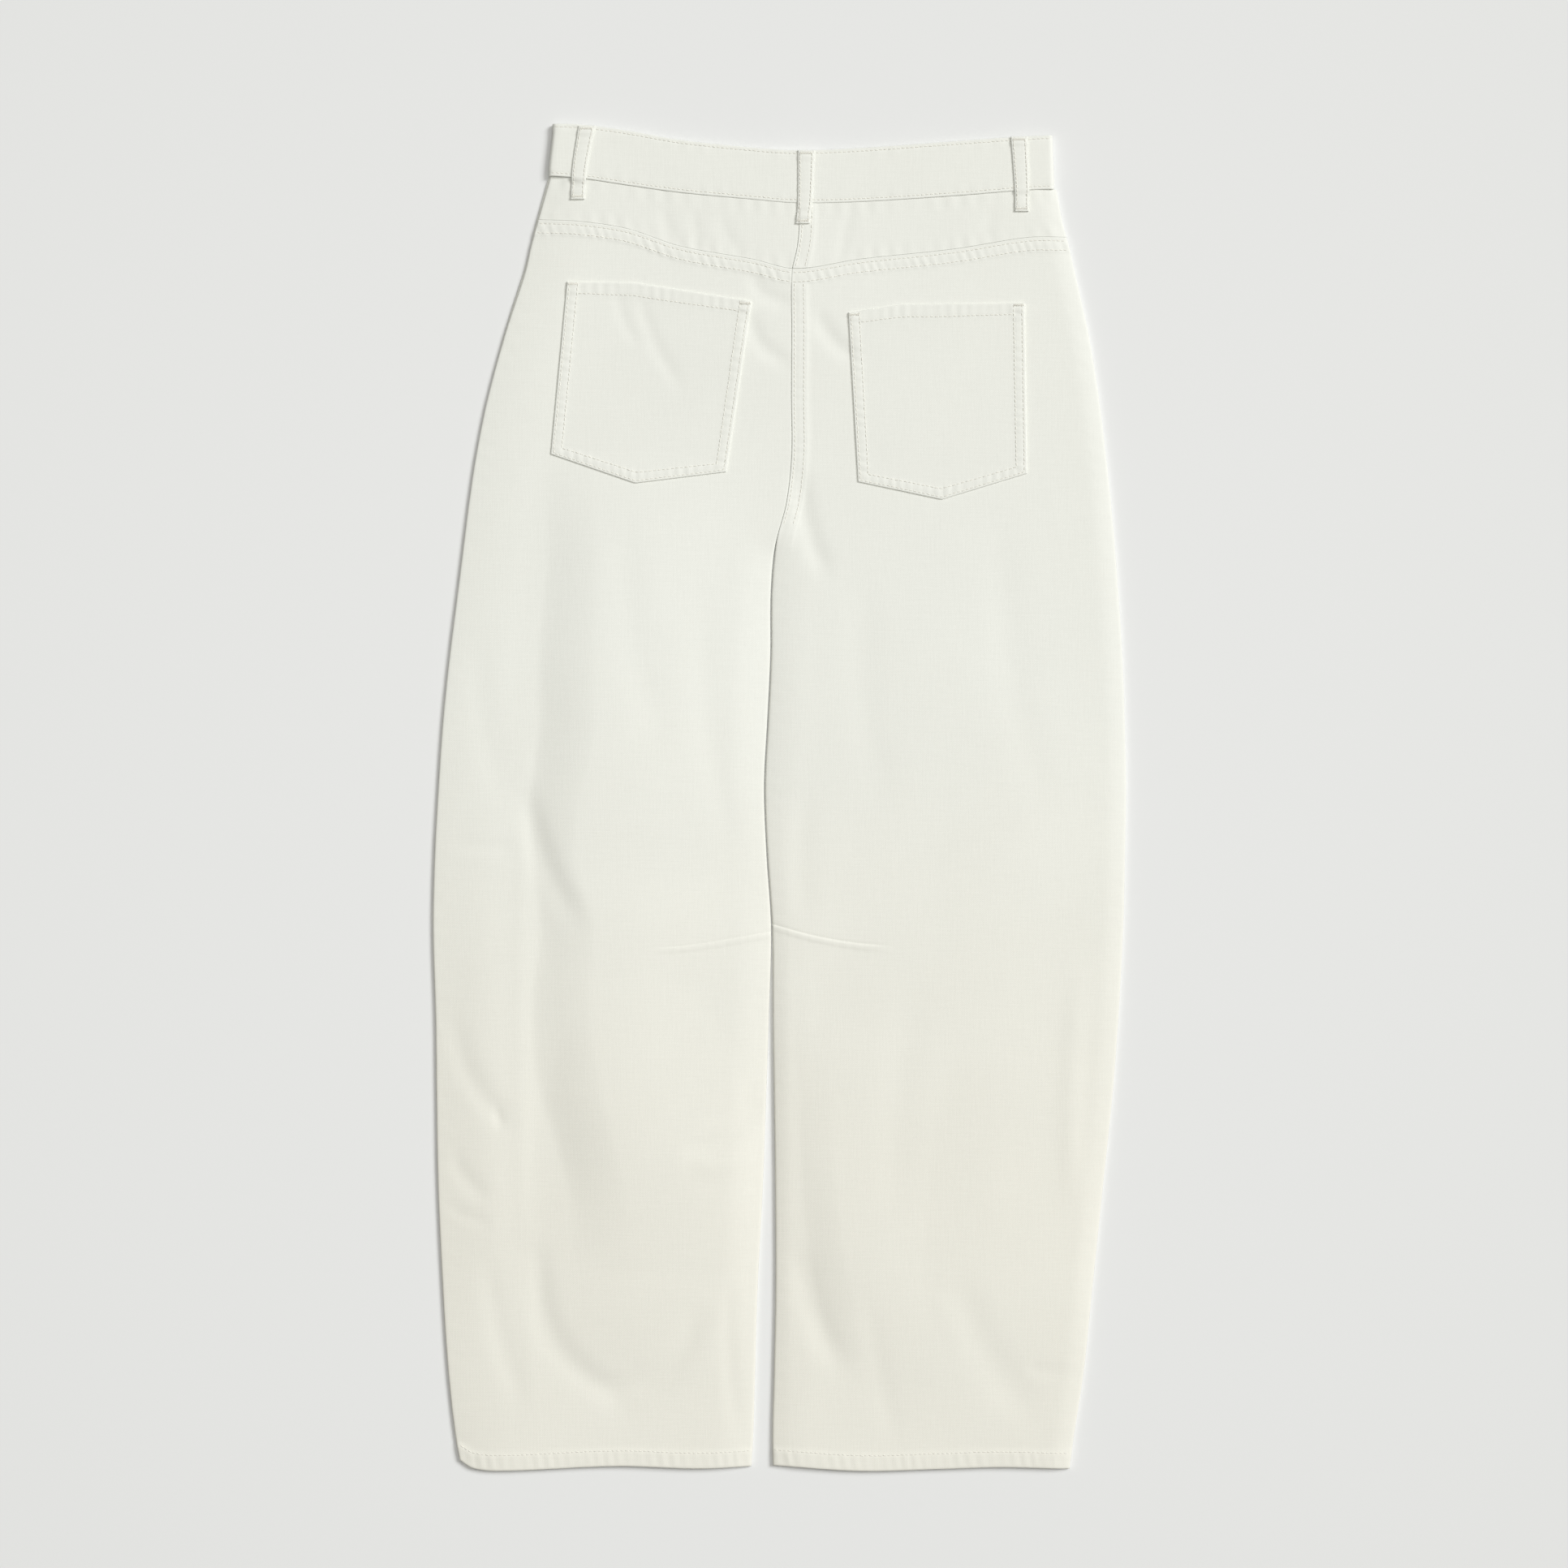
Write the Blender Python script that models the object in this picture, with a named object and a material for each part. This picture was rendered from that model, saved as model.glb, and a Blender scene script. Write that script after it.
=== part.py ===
"""Barrel leg trousers in cream denim, laid flat on their front with the back showing.

The frame is +X towards the right leg, +Y up to the waist and +Z up off the surface, and the
origin is under the middle of the garment. The tables are in millimetres: "up" is measured
from the lowest point of the hems, and "across" from the garment's middle.
"""
import math
from bisect import bisect_right

import bmesh
import bpy
from mathutils import Vector

MM = 0.001
LENGTH = 1017.5
SEAM_GAP = 0.3
BAND_GAP = 0.6
LEG_GAP = 0.8

CLOTH = 1.4
POCKET_CLOTH = 1.2
BAND_CLOTH = 1.9
LOOP_CLOTH = 1.6

HEM_BAND = 13.0
HEM_RAISE = 1.0
FELL_WIDTH = 11.0
FELL_RAISE = 0.8
SEAT_FELL_WIDTH = 12.0
EDGE_OF_FOLD = 1.5

CROTCH = 712.0
CROTCH_BLEND = 26.0
FRONT_INSET = 1.9
RIM_LEVEL = 0.3
FRONT_LEVEL = CLOTH + SEAM_GAP

EDGE_RISE = 30.0
BASE_LIFT = 1.9

DART_HALF_WIDTH = 3.0
DART_RAISE = 1.0

OUTER_COLUMNS = (0.0, 1.6, 6.0, 14.0)
INNER_COLUMNS = (14.0, SEAT_FELL_WIDTH, 1.6, 0.0)
MIDDLE_COLUMNS = 11
ROWS_BELOW_KNEE = 15
ROWS_ABOVE_KNEE = 21
YOKE_ROWS = 2
FRONT_MIDDLE_COLUMNS = 6
FRONT_ROWS = 28

WAIST_MIDDLE = 12.0
BAND_BACK_LEVEL = 5.4
BAND_OVERLAP = 20.0
UNDERLAP_LEVEL = 3.15
UNDERLAP_RAMP = (28.0, 40.0)
BAND_LEFT = (-174.5, -171.5)
BAND_RIGHT = (207.4, 206.4)
BAND_BACK_STATIONS = 24
BAND_FRONT_STATIONS = 12
FOLD_STEPS = 6

BUTTON_RADIUS = 8.5
BUTTON_STEPS = 28
BUTTON_ACROSS = 14.0
BUTTON_UP = 977.5

ZIP_HALF_WIDTH = 13.0
ZIP_CHAIN = 3.0
ZIP_TAPE = 0.7
ZIP_CHAIN_RAISE = 0.6
ZIP_LENGTH = 125.0
ZIP_ROWS = 4
ZIP_BELOW_BAND = 2.0

SHARP_ANGLE = 35
PANEL_TOP_SLOPE = 60

# The garment's outline and the line between the legs, a row for each section from hem to waist.
SECTIONS = {
    "up": (-5, 26, 75, 135, 215, 285, 340, 410, 465, 517, 566,
           615, 664, 700, 731, 768, 811, 860, 905, 925, 945, 980),
    "left_outer": (-239.0, -245.0, -250.5, -254.5, -258.2, -259.4, -260.0, -262.0, -260.8, -258.0, -254.6,
                   -249.6, -243.4, -238.9, -235.0, -229.4, -220.6, -207.2, -192.6, -188.0, -182.5, -172.6),
    "left_inner": (-21.5, -19.5, -18.0, -16.3, -12.2, -9.6, -7.8, -6.0, -9.4, -11.3, -8.9,
                   -6.6, -6.2, -2.8, 5.2, 9.2, 9.0, 9.2, 9.4, 13.5, 15.0, 15.0),
    "right_inner": (-5.0, -5.8, -4.6, -3.4, -3.6, -4.6, -5.4, -5.8, -9.4, -11.3, -8.9,
                    -6.6, -6.2, -2.8, 5.2, 9.2, 9.0, 9.2, 9.4, 13.5, 15.0, 15.0),
    "right_outer": (218.5, 222.5, 230.0, 236.2, 244.5, 251.8, 256.0, 259.8, 261.2, 262.0, 261.0,
                    259.2, 256.1, 253.4, 250.6, 246.6, 241.4, 233.4, 223.4, 218.8, 213.6, 207.6),
}

# How high the waistband's edges and the yoke's seam lie at each place across.
WAIST = {
    "across": (-180, -150, -115, -75, -20, 12, 60, 133, 186, 215),
    "top": (1017.5, 1016.6, 1012.0, 1005.0, 999.2, 997.2, 998.8, 1004.0, 1007.7, 1009.0),
    "seam": (978.4, 976.0, 970.8, 965.2, 960.0, 957.4, 958.2, 962.8, 967.0, 968.0),
    "yoke": (945.2, 943.6, 938.2, 925.0, 915.0, 907.9, 915.0, 923.0, 931.4, 932.0),
}

HEM = {
    "across": (-241, -232, -212, -123, -62, -21, -5, 61, 122, 167, 218),
    "up": (7.5, 2.0, 0.0, 3.6, 1.8, 3.4, 4.0, 0.0, 1.5, 2.8, 1.5),
}

# The knee darts, each from the inner leg seam out to its tip.
DARTS = {
    "left": {"across": (-97.0, -68.0, -6.0), "up": (394.8, 396.8, 406.8), "tip": -95.0},
    "right": {"across": (-6.0, 26.0, 57.0, 89.0), "up": (412.6, 404.0, 398.5, 396.0), "tip": 87.0},
}

# Broad swells of the cloth: middle, half width, half length and height.
SWELLS = (
    # across, up, half_width, half_length, height
    (12, 870, 150, 150, 1.0),
    (-110, 610, 125, 260, 1.2),
    (128, 590, 130, 270, 1.4),
    (-98, 172, 84, 132, 2.4),
    (-222, 300, 50, 240, 0.9),
    (122, 210, 120, 210, 1.3),
    (190, 430, 80, 200, 0.8),
)

# Folds from one end to the other: "ridge" lifts or sinks the middle, and "roll" lifts the side
# on the right of someone who walks from the first end to the second.
FOLDS = (
    # across_0, up_0, across_1, up_1, bow, width, ridge, roll
    (-170, 775, -164, 505, 5, 17, -0.9, -1.0),
    (-187, 506, -150, 418, 4, 10, -1.6, -1.2),
    (-163, 430, -164, 292, -3, 14, -1.2, -0.8),
    (-167, 304, -134, 200, 6, 14, -1.1, -0.9),
    (-190, 530, -190, 70, 2, 7, 0.9, 0.0),
    (-180, 160, -120, 58, 18, 11, -0.9, -0.8),
    (-122, 60, -60, 110, 12, 11, -0.9, 0.6),
    (-250, 336, -213, 266, 6, 8, -1.2, 0.9),
    (-248, 236, -226, 208, 3, 7, -0.9, 0.6),
    (-64, 240, -12, 276, 5, 8, -1.2, 0.7),
    (14, 158, 41, 84, 4, 11, -1.2, 0.5),
    (15, 505, 15, 416, 2, 8, -1.0, 0.4),
    (14, 748, 31, 682, 3, 8, -1.2, 0.5),
    (28, 870, 54, 840, 3, 7, -0.9, 0.5),
    (-22, 898, 6, 880, 4, 7, -0.8, 0.5),
    (-24, 868, 2, 836, 5, 7, -0.8, 0.5),
    (133, 134, 180, 48, 4, 15, -1.0, 0.6),
    (226, 356, 222, 216, 2, 9, 0.8, 0.3),
    (3, 400, 4, 72, 1, 7, 0.7, 0.0),
)

# Each pocket's corners in order round its outline, and the line under its folded top hem.
POCKETS = {
    "left": {
        "corners": (
            (-160.4, 897.9), (-108.9, 897.0), (-21.2, 883.1),
            (-40.2, 754.3), (-108.9, 745.7), (-172.7, 767.8),
        ),
        "hem": ((-160.4, 886.8), (-24.8, 873.0)),
    },
    "right": {
        "corners": (
            (51.8, 874.5), (92.9, 880.7), (185.0, 881.9),
            (186.8, 753.1), (122.4, 733.4), (59.2, 746.9),
        ),
        "hem": ((53.7, 864.2), (172.7, 870.4)),
    },
}
POCKET_HEM_RAISE = 0.6

# Each belt loop's middle line from the waistband's top edge to its foot on the yoke.
LOOPS = {
    "left": {"across": (-145.3, -150.6, -152.4), "up": (1015.6, 985.0, 960.1)},
    "middle": {"across": (20.2, 19.2, 17.5), "up": (997.0, 957.4, 941.6)},
    "right": {"across": (180.7, 183.0, 182.8), "up": (1007.2, 966.6, 950.9)},
}
LOOP_WIDTH = (12.6, 10.6)
LOOP_STEP = 4.0

DENIM = ((0.82, 0.81, 0.735), 0.92, 0.0)
TAPE = ((0.76, 0.74, 0.66), 0.85, 0.0)
BUTTON_METAL = ((0.62, 0.60, 0.56), 0.35, 1.0)


def smooth(along, values, at):
    """Reads a value at one place off the smooth curve through a table's rows."""
    at = min(max(at, along[0]), along[-1])
    row = min(max(bisect_right(along, at) - 1, 0), len(along) - 2)
    span = along[row + 1] - along[row]
    part = (at - along[row]) / span

    def slope(k):
        before, after = max(k - 1, 0), min(k + 1, len(along) - 1)
        return (values[after] - values[before]) / (along[after] - along[before]) * span

    square, cube = part**2, part**3
    return (
        values[row] * (2 * cube - 3 * square + 1)
        + slope(row) * (cube - 2 * square + part)
        + values[row + 1] * (3 * square - 2 * cube)
        + slope(row + 1) * (cube - square)
    )


def ease(low, high, at):
    """Goes smoothly from 0 at low to 1 at high."""
    part = min(max((at - low) / (high - low), 0.0), 1.0)
    return part * part * (3 - 2 * part)


def place(across, up, level):
    """Turns millimetres measured on the garment into the frame's metres."""
    return Vector((across * MM, (up - LENGTH / 2) * MM, level * MM))


def legs_apart(up):
    """Is 0 where the two sides are sewn at the seat and 1 where the legs are apart."""
    return 1.0 - ease(CROTCH - CROTCH_BLEND, CROTCH, up)


def edges(side, up):
    """Gives the outer and inner edge of one side of the garment at a height."""
    apart = legs_apart(up)
    half_gap = (SEAM_GAP * (1 - apart) + LEG_GAP * apart) / 2
    inner = smooth(SECTIONS["up"], SECTIONS[side + "_inner"], up)
    outer = smooth(SECTIONS["up"], SECTIONS[side + "_outer"], up)
    return outer, inner + (-half_gap if side == "left" else half_gap)


def hem_line(across):
    return smooth(HEM["across"], HEM["up"], across)


def waist_line(name, across):
    return smooth(WAIST["across"], WAIST[name], across)


def fold_height(fold, across, up):
    """Gives what one fold adds to the cloth's level at a place."""
    across_0, up_0, across_1, up_1, bow, width, ridge, roll = fold
    run = Vector((across_1 - across_0, up_1 - up_0))
    spot = Vector((across - across_0, up - up_0))
    along = spot.dot(run) / run.length_squared
    if not -0.25 < along < 1.25:
        return 0.0
    aside = (spot.x * run.y - spot.y * run.x) / run.length
    aside = (aside - bow * math.sin(math.pi * min(max(along, 0.0), 1.0))) / width
    fade = ease(-0.25, 0.2, along) * (1.0 - ease(0.8, 1.25, along))
    return (ridge + roll * aside) * math.exp(-aside * aside) * fade


def lift(side, across, up):
    """Gives how far the back of the garment stands above the front under it."""
    outer, inner = edges(side, up)
    edge = 1.0 - (1.0 - min(abs(across - outer) / EDGE_RISE, 1.0)) ** 2
    inside = 1.0 - (1.0 - min(abs(across - inner) / EDGE_RISE, 1.0)) ** 2
    held = edge * (1.0 + (inside - 1.0) * legs_apart(up))
    height = BASE_LIFT
    for middle, height_up, half_width, half_length, top in SWELLS:
        far = ((across - middle) / half_width) ** 2 + ((up - height_up) / half_length) ** 2
        height += top * max(1.0 - far, 0.0) ** 2
    height += sum(fold_height(fold, across, up) for fold in FOLDS)
    return max(height, 0.0) * held


def dart_line(side):
    """Gives the height of a side's knee dart at each place across."""
    dart = DARTS[side]
    return lambda across: smooth(dart["across"], dart["up"], across)


def dart_raise(side):
    """Gives how far the dart's ridge stands out at each place across."""
    start = SECTIONS[side + "_inner"][SECTIONS["up"].index(410)]
    tip = DARTS[side]["tip"]

    def raised(across):
        part = (across - start) / (tip - start)
        return DART_RAISE * (1.0 - ease(0.75, 1.05, part))

    return raised


def moved(line, by):
    return lambda across: line(across) + by


def between(low, high, count):
    """Gives evenly spaced row lines between two lines."""
    parts = [k / (count + 1) for k in range(1, count + 1)]
    return [lambda across, t=t: low(across) * (1 - t) + high(across) * t for t in parts]


def level(amount):
    return lambda across: amount


def settle(line, across_at, start):
    """Finds where a column meets a row line, and gives its places across and up."""
    up = line(start)
    for _ in range(3):
        across = across_at(up)
        up = line(across)
    return across, up


def panel_columns(side, up):
    """Gives where the columns of a back panel's grid lie across at a height, outer edge first."""
    outer, inner = edges(side, up)
    way = 1.0 if side == "left" else -1.0
    first = outer + way * OUTER_COLUMNS[-1]
    last = inner - way * INNER_COLUMNS[0]
    steps = MIDDLE_COLUMNS + 1
    middle = [first + (last - first) * k / steps for k in range(1, steps)]
    return [outer + way * d for d in OUTER_COLUMNS] + middle + [inner - way * d for d in INNER_COLUMNS]


def front_columns(side, up):
    """Gives where a front panel's columns lie across, drawn in from the rim that folds round it."""
    outer, inner = edges(side, up)
    way = 1.0 if side == "left" else -1.0
    outer += way * FRONT_INSET
    inner -= way * FRONT_INSET * legs_apart(up - CROTCH_BLEND)
    steps = FRONT_MIDDLE_COLUMNS + 1
    return [outer + (inner - outer) * k / steps for k in range(steps + 1)]


def pull_out(mesh, far):
    """Closes an open sheet into a wall, where far gives each point's place on the other side."""
    sheet = mesh.verts[:] + mesh.edges[:] + mesh.faces[:]
    rims = [edge for edge in mesh.edges if edge.is_boundary]
    places = {vert: far(vert) for vert in mesh.verts}
    twins = bmesh.ops.duplicate(mesh, geom=sheet)["vert_map"]
    for vert, spot in places.items():
        twins[vert].co = spot
    for edge in rims:
        first, last = edge.verts
        mesh.faces.new((first, last, twins[last], twins[first]))


def grid_wall(columns, rows, near, far):
    """Makes a closed wall from a grid, where near and far give its two sides at a column and row."""
    mesh = bmesh.new()
    bmesh.ops.create_grid(mesh, x_segments=columns, y_segments=rows, size=1.0)
    spots = {v: (round((v.co.x + 1) / 2 * columns), round((v.co.y + 1) / 2 * rows)) for v in mesh.verts}
    for vert, spot in spots.items():
        vert.co = near(*spot)
    pull_out(mesh, lambda vert: far(*spots[vert]))
    return mesh


def finish(name, mesh, material):
    """Turns a finished mesh into one named object with its own material."""
    bmesh.ops.triangulate(mesh, faces=mesh.faces[:], quad_method="FIXED")
    bmesh.ops.recalc_face_normals(mesh, faces=mesh.faces[:])
    data = bpy.data.meshes.new(name)
    mesh.to_mesh(data)
    mesh.free()
    data.materials.append(paint(name, *material))
    data.shade_smooth()
    data.set_sharp_from_angle(angle=math.radians(SHARP_ANGLE))
    thing = bpy.data.objects.new(name, data)
    bpy.context.scene.collection.objects.link(thing)
    return thing


def paint(name, colour, roughness, metallic):
    """Makes one piece's own material."""
    material = bpy.data.materials.new(name)
    material.use_nodes = True
    shader = material.node_tree.nodes["Principled BSDF"]
    shader.inputs["Base Color"].default_value = (*colour, 1.0)
    shader.inputs["Roughness"].default_value = roughness
    shader.inputs["Metallic"].default_value = metallic
    return material


def back_piece(name, side, rows):
    """Makes a back leg panel or a yoke from its rows, each a line across and how far it is raised."""
    last_column = len(OUTER_COLUMNS) + MIDDLE_COLUMNS + len(INNER_COLUMNS) - 1
    felled_from = last_column - len(INNER_COLUMNS) + 2

    def spot(column, row):
        return settle(rows[row][0], lambda up: panel_columns(side, up)[column], WAIST_MIDDLE)

    def underside(column, row):
        across, up = spot(column, row)
        height = FRONT_LEVEL + lift(side, across, up)
        turned = {0: 1.0, last_column: legs_apart(up)}.get(column, 0.0)
        return across, up, height * (1 - turned) + RIM_LEVEL * turned

    def near(column, row):
        return place(*underside(column, row))

    def far(column, row):
        across, up, height = underside(column, row)
        raised = rows[row][1](across)
        if side == "right" and column >= felled_from:
            raised = max(raised, FELL_RAISE * (1 - legs_apart(up)))
        return place(across, up, height + CLOTH + raised)

    return finish(name, grid_wall(last_column, len(rows) - 1, near, far), DENIM)


def back_leg(side):
    """Makes a back leg panel with its hem band, its knee dart and the raised edge at the yoke."""
    dart = dart_line(side)
    seam = moved(lambda across: waist_line("yoke", across), -SEAM_GAP / 2)
    hem_top = moved(hem_line, HEM_BAND + EDGE_OF_FOLD)
    fell_foot = moved(seam, -FELL_WIDTH)
    flat = level(0.0)
    rows = [(hem_line, level(HEM_RAISE)), (moved(hem_line, HEM_BAND), level(HEM_RAISE)), (hem_top, flat)]
    below_dart = moved(dart, -DART_HALF_WIDTH)
    above_dart = moved(dart, DART_HALF_WIDTH)
    rows += [(line, flat) for line in between(hem_top, below_dart, ROWS_BELOW_KNEE)]
    rows += [(below_dart, flat), (dart, dart_raise(side)), (above_dart, flat)]
    top = moved(fell_foot, -EDGE_OF_FOLD)
    rows += [(line, flat) for line in between(above_dart, top, ROWS_ABOVE_KNEE)]
    rows += [(top, flat), (fell_foot, level(FELL_RAISE)), (seam, level(FELL_RAISE))]
    return back_piece("back_" + side, side, rows)


def yoke(side):
    """Makes one half of the back yoke, from its seam with the leg up to the waistband."""
    low = moved(lambda across: waist_line("yoke", across), SEAM_GAP / 2)
    high = moved(lambda across: waist_line("seam", across), -SEAM_GAP / 2)
    lines = [low] + between(low, high, YOKE_ROWS) + [high]
    return back_piece("yoke_" + side, side, [(line, level(0.0)) for line in lines])


def front_leg(side):
    """Makes a front panel, which lies flat on the surface from the hem to the waistband."""
    high = moved(lambda across: waist_line("seam", across), -SEAM_GAP / 2)
    lines = [hem_line] + between(hem_line, high, FRONT_ROWS) + [high]

    def at_level(height):
        def spot(column, row):
            across, up = settle(lines[row], lambda up: front_columns(side, up)[column], WAIST_MIDDLE)
            return place(across, up, height)

        return spot

    mesh = grid_wall(FRONT_MIDDLE_COLUMNS + 1, len(lines) - 1, at_level(0.0), at_level(CLOTH))
    return finish("front_" + side, mesh, DENIM)


def pocket(side, panel):
    """Cuts a patch pocket's outline out of the panel's outer points and moves it out of the panel."""
    shape = POCKETS[side]
    mesh = bmesh.new()
    mesh.from_mesh(panel.data)
    under = [face for face in mesh.faces if face.normal.z < math.cos(math.radians(PANEL_TOP_SLOPE))]
    bmesh.ops.delete(mesh, geom=under, context="FACES")

    def cut(first, last, shift, clear):
        run = (place(*last, 0.0) - place(*first, 0.0)).normalized()
        out = Vector((-run.y, run.x, 0.0))
        geometry = mesh.verts[:] + mesh.edges[:] + mesh.faces[:]
        on_line = place(*first, 0.0) + out * shift * MM
        bmesh.ops.bisect_plane(
            mesh, geom=geometry, dist=1e-6, plane_co=on_line, plane_no=out, clear_outer=clear
        )
        return on_line, out

    corners = shape["corners"]
    for first, last in zip(corners, corners[1:] + corners[:1]):
        cut(first, last, 0.0, True)
    cut(*shape["hem"], 0.0, False)
    on_line, out = cut(*shape["hem"], EDGE_OF_FOLD, False)

    def far(vert):
        raised = POCKET_HEM_RAISE if (vert.co - on_line).dot(out) > -0.1 * MM else 0.0
        return vert.co + Vector((0.0, 0.0, (POCKET_CLOTH + raised) * MM))

    bmesh.ops.translate(mesh, verts=mesh.verts[:], vec=(0.0, 0.0, SEAM_GAP * MM))
    pull_out(mesh, far)
    return finish("pocket_" + side, mesh, DENIM)


def waistband_stations():
    """Gives the band's path from its outer front end round the back to its inner front end.

    Each station is a part of the way across, a shift across, a level, and the way that faces out.
    """
    half = BAND_CLOTH / 2
    turn = (BAND_BACK_LEVEL - half) / 2
    centre = half + turn
    span = BAND_RIGHT[0] - BAND_LEFT[0] - 2 * (turn + half)
    middle = (WAIST_MIDDLE - BAND_LEFT[0] - turn - half) / span
    overlap, ramp_end, ramp_start = (d / span for d in (BAND_OVERLAP, *UNDERLAP_RAMP))

    def straight(first, last, count, height, facing):
        parts = [first + (last - first) * k / count for k in range(count + 1)]
        return [(part, 0.0, height, 0.0, facing) for part in parts]

    def fold(part, start, way):
        angles = [start + way * math.pi * k / FOLD_STEPS for k in range(1, FOLD_STEPS)]
        return [
            (part, turn * math.cos(a), centre + turn * math.sin(a), math.cos(a), math.sin(a))
            for a in angles
        ]

    stations = straight(middle + overlap, 0.0, BAND_FRONT_STATIONS, half, -1.0)
    stations += fold(0.0, -math.pi / 2, -1.0)
    stations += straight(0.0, 1.0, BAND_BACK_STATIONS, BAND_BACK_LEVEL, 1.0)
    stations += fold(1.0, math.pi / 2, -1.0)
    stations += straight(1.0, middle + ramp_start, BAND_FRONT_STATIONS, half, -1.0)
    stations += straight(middle + ramp_end, middle - overlap, 2, UNDERLAP_LEVEL, -1.0)
    return stations


def waistband():
    """Makes the waistband, one band folded flat at both sides with its ends lapped at the front."""
    stations = waistband_stations()
    half = BAND_CLOTH / 2
    reach = half + (BAND_BACK_LEVEL - half) / 2

    def side_of(out):
        def spot(station, row):
            part, shift, height, out_across, out_up = stations[station]
            left = BAND_LEFT[row] + reach
            right = BAND_RIGHT[row] - reach
            across = left + (right - left) * part
            up = waist_line("top", across) if row else waist_line("seam", across) + BAND_GAP - SEAM_GAP / 2
            return place(across + shift + out_across * out, up, height + out_up * out)

        return spot

    mesh = grid_wall(len(stations) - 1, 1, side_of(-half), side_of(half))
    band = finish("waistband", mesh, DENIM)
    bpy.ops.mesh.primitive_cylinder_add(
        vertices=BUTTON_STEPS,
        radius=(BUTTON_RADIUS + SEAM_GAP) * MM,
        depth=2 * (BAND_CLOTH + SEAM_GAP / 2) * MM,
        location=place(BUTTON_ACROSS, BUTTON_UP, 0.0),
    )
    hole = bpy.context.object
    hole.name = "button_hole_cutter"
    hole.display_type = "WIRE"
    hole.hide_render = True
    cut = band.modifiers.new("button_hole", "BOOLEAN")
    cut.operation = "DIFFERENCE"
    cut.object = hole
    return band


def yoke_top(across, up):
    """Gives the level of the yoke's outer face at a place."""
    side = "left" if across < smooth(SECTIONS["up"], SECTIONS["left_inner"], up) else "right"
    inner = edges(side, up)[1]
    felled = side == "right" and abs(across - inner) < INNER_COLUMNS[0]
    return FRONT_LEVEL + lift(side, across, up) + CLOTH + (FELL_RAISE if felled else 0.0)


def belt_loop(name):
    """Makes a belt loop that lies on the waistband and steps down to its foot on the yoke."""
    line = LOOPS[name]
    band_top = BAND_BACK_LEVEL + BAND_CLOTH / 2
    top, foot = line["up"][0], line["up"][-1]
    ups = line["up"][::-1], line["across"][::-1]
    seam = waist_line("seam", smooth(*ups, foot + FELL_WIDTH))
    on_yoke = (seam - LOOP_STEP + foot) / 2
    stations = [top, (top + seam) / 2, seam + SEAM_GAP, seam - SEAM_GAP, seam - LOOP_STEP, on_yoke, foot]

    def spot(extra):
        def at(column, row):
            up = stations[row]
            middle = smooth(*ups, up)
            part = (top - up) / (top - foot)
            half = (LOOP_WIDTH[0] * (1 - part) + LOOP_WIDTH[1] * part) / 2
            height = band_top
            if up < seam - SEAM_GAP * 2:
                height = max(yoke_top(middle + half * k, up) for k in (-1, 0, 1))
            return place(middle + half * (column - 1), up, height + SEAM_GAP + extra)

        return at

    mesh = grid_wall(2, len(stations) - 1, spot(0.0), spot(LOOP_CLOTH))
    return finish("belt_loop_" + name, mesh, DENIM)


def fly_zip():
    """Makes the closed zip's tapes and chain, which lie inside the front over the fly's seam."""
    top = waist_line("seam", WAIST_MIDDLE) - ZIP_BELOW_BAND
    half = (ZIP_CHAIN - ZIP_TAPE, ZIP_CHAIN, ZIP_HALF_WIDTH)
    offsets = [-offset for offset in half[::-1]] + list(half)
    chain = (2, 3)

    def spot(thickness):
        def at(column, row):
            up = top - ZIP_LENGTH * (1 - row / ZIP_ROWS)
            across = smooth(SECTIONS["up"], SECTIONS["left_inner"], up) + offsets[column]
            raised = ZIP_CHAIN_RAISE if thickness and column in chain else 0.0
            return place(across, up, FRONT_LEVEL + thickness + raised)

        return at

    mesh = grid_wall(len(offsets) - 1, ZIP_ROWS, spot(0.0), spot(ZIP_TAPE))
    return finish("fly_zip", mesh, TAPE)


def waist_button():
    """Turns the waist button, its head flush with the underside and its shank to the inner end."""
    seat = UNDERLAP_LEVEL - BAND_CLOTH / 2 - SEAM_GAP
    head = seat - SEAM_GAP
    shank = 3.0
    outline = (
        (0.0, 0.0),
        (BUTTON_RADIUS - 0.4, 0.0),
        (BUTTON_RADIUS, 0.4),
        (BUTTON_RADIUS, head - 0.3),
        (BUTTON_RADIUS - 0.5, head),
        (shank, head),
        (shank, seat),
        (0.0, seat),
    )
    centre = place(BUTTON_ACROSS, BUTTON_UP, 0.0)
    mesh = bmesh.new()
    verts = [mesh.verts.new(centre + Vector((r * MM, 0.0, z * MM))) for r, z in outline]
    profile = [mesh.edges.new(pair) for pair in zip(verts, verts[1:])]
    bmesh.ops.spin(
        mesh, geom=verts + profile, cent=centre, axis=(0, 0, 1), angle=math.tau, steps=BUTTON_STEPS
    )
    bmesh.ops.remove_doubles(mesh, verts=mesh.verts[:], dist=0.01 * MM)
    return finish("waist_button", mesh, BUTTON_METAL)


def trousers():
    """Builds every piece of the garment."""
    for side in ("left", "right"):
        front_leg(side)
        panel = back_leg(side)
        yoke(side)
        pocket(side, panel)
    waistband()
    for name in LOOPS:
        belt_loop(name)
    fly_zip()
    waist_button()


for old in list(bpy.data.objects):
    bpy.data.objects.remove(old, do_unlink=True)
trousers()
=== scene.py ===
"""Barrel leg trousers in cream denim, laid flat on their front: the finish of every surface.

Tables are in millimetres, as a maker would measure the garment: "up" from the lowest point of
the hems, "across" from the middle, and levels up from the surface it lies on.
"""
import math

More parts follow.
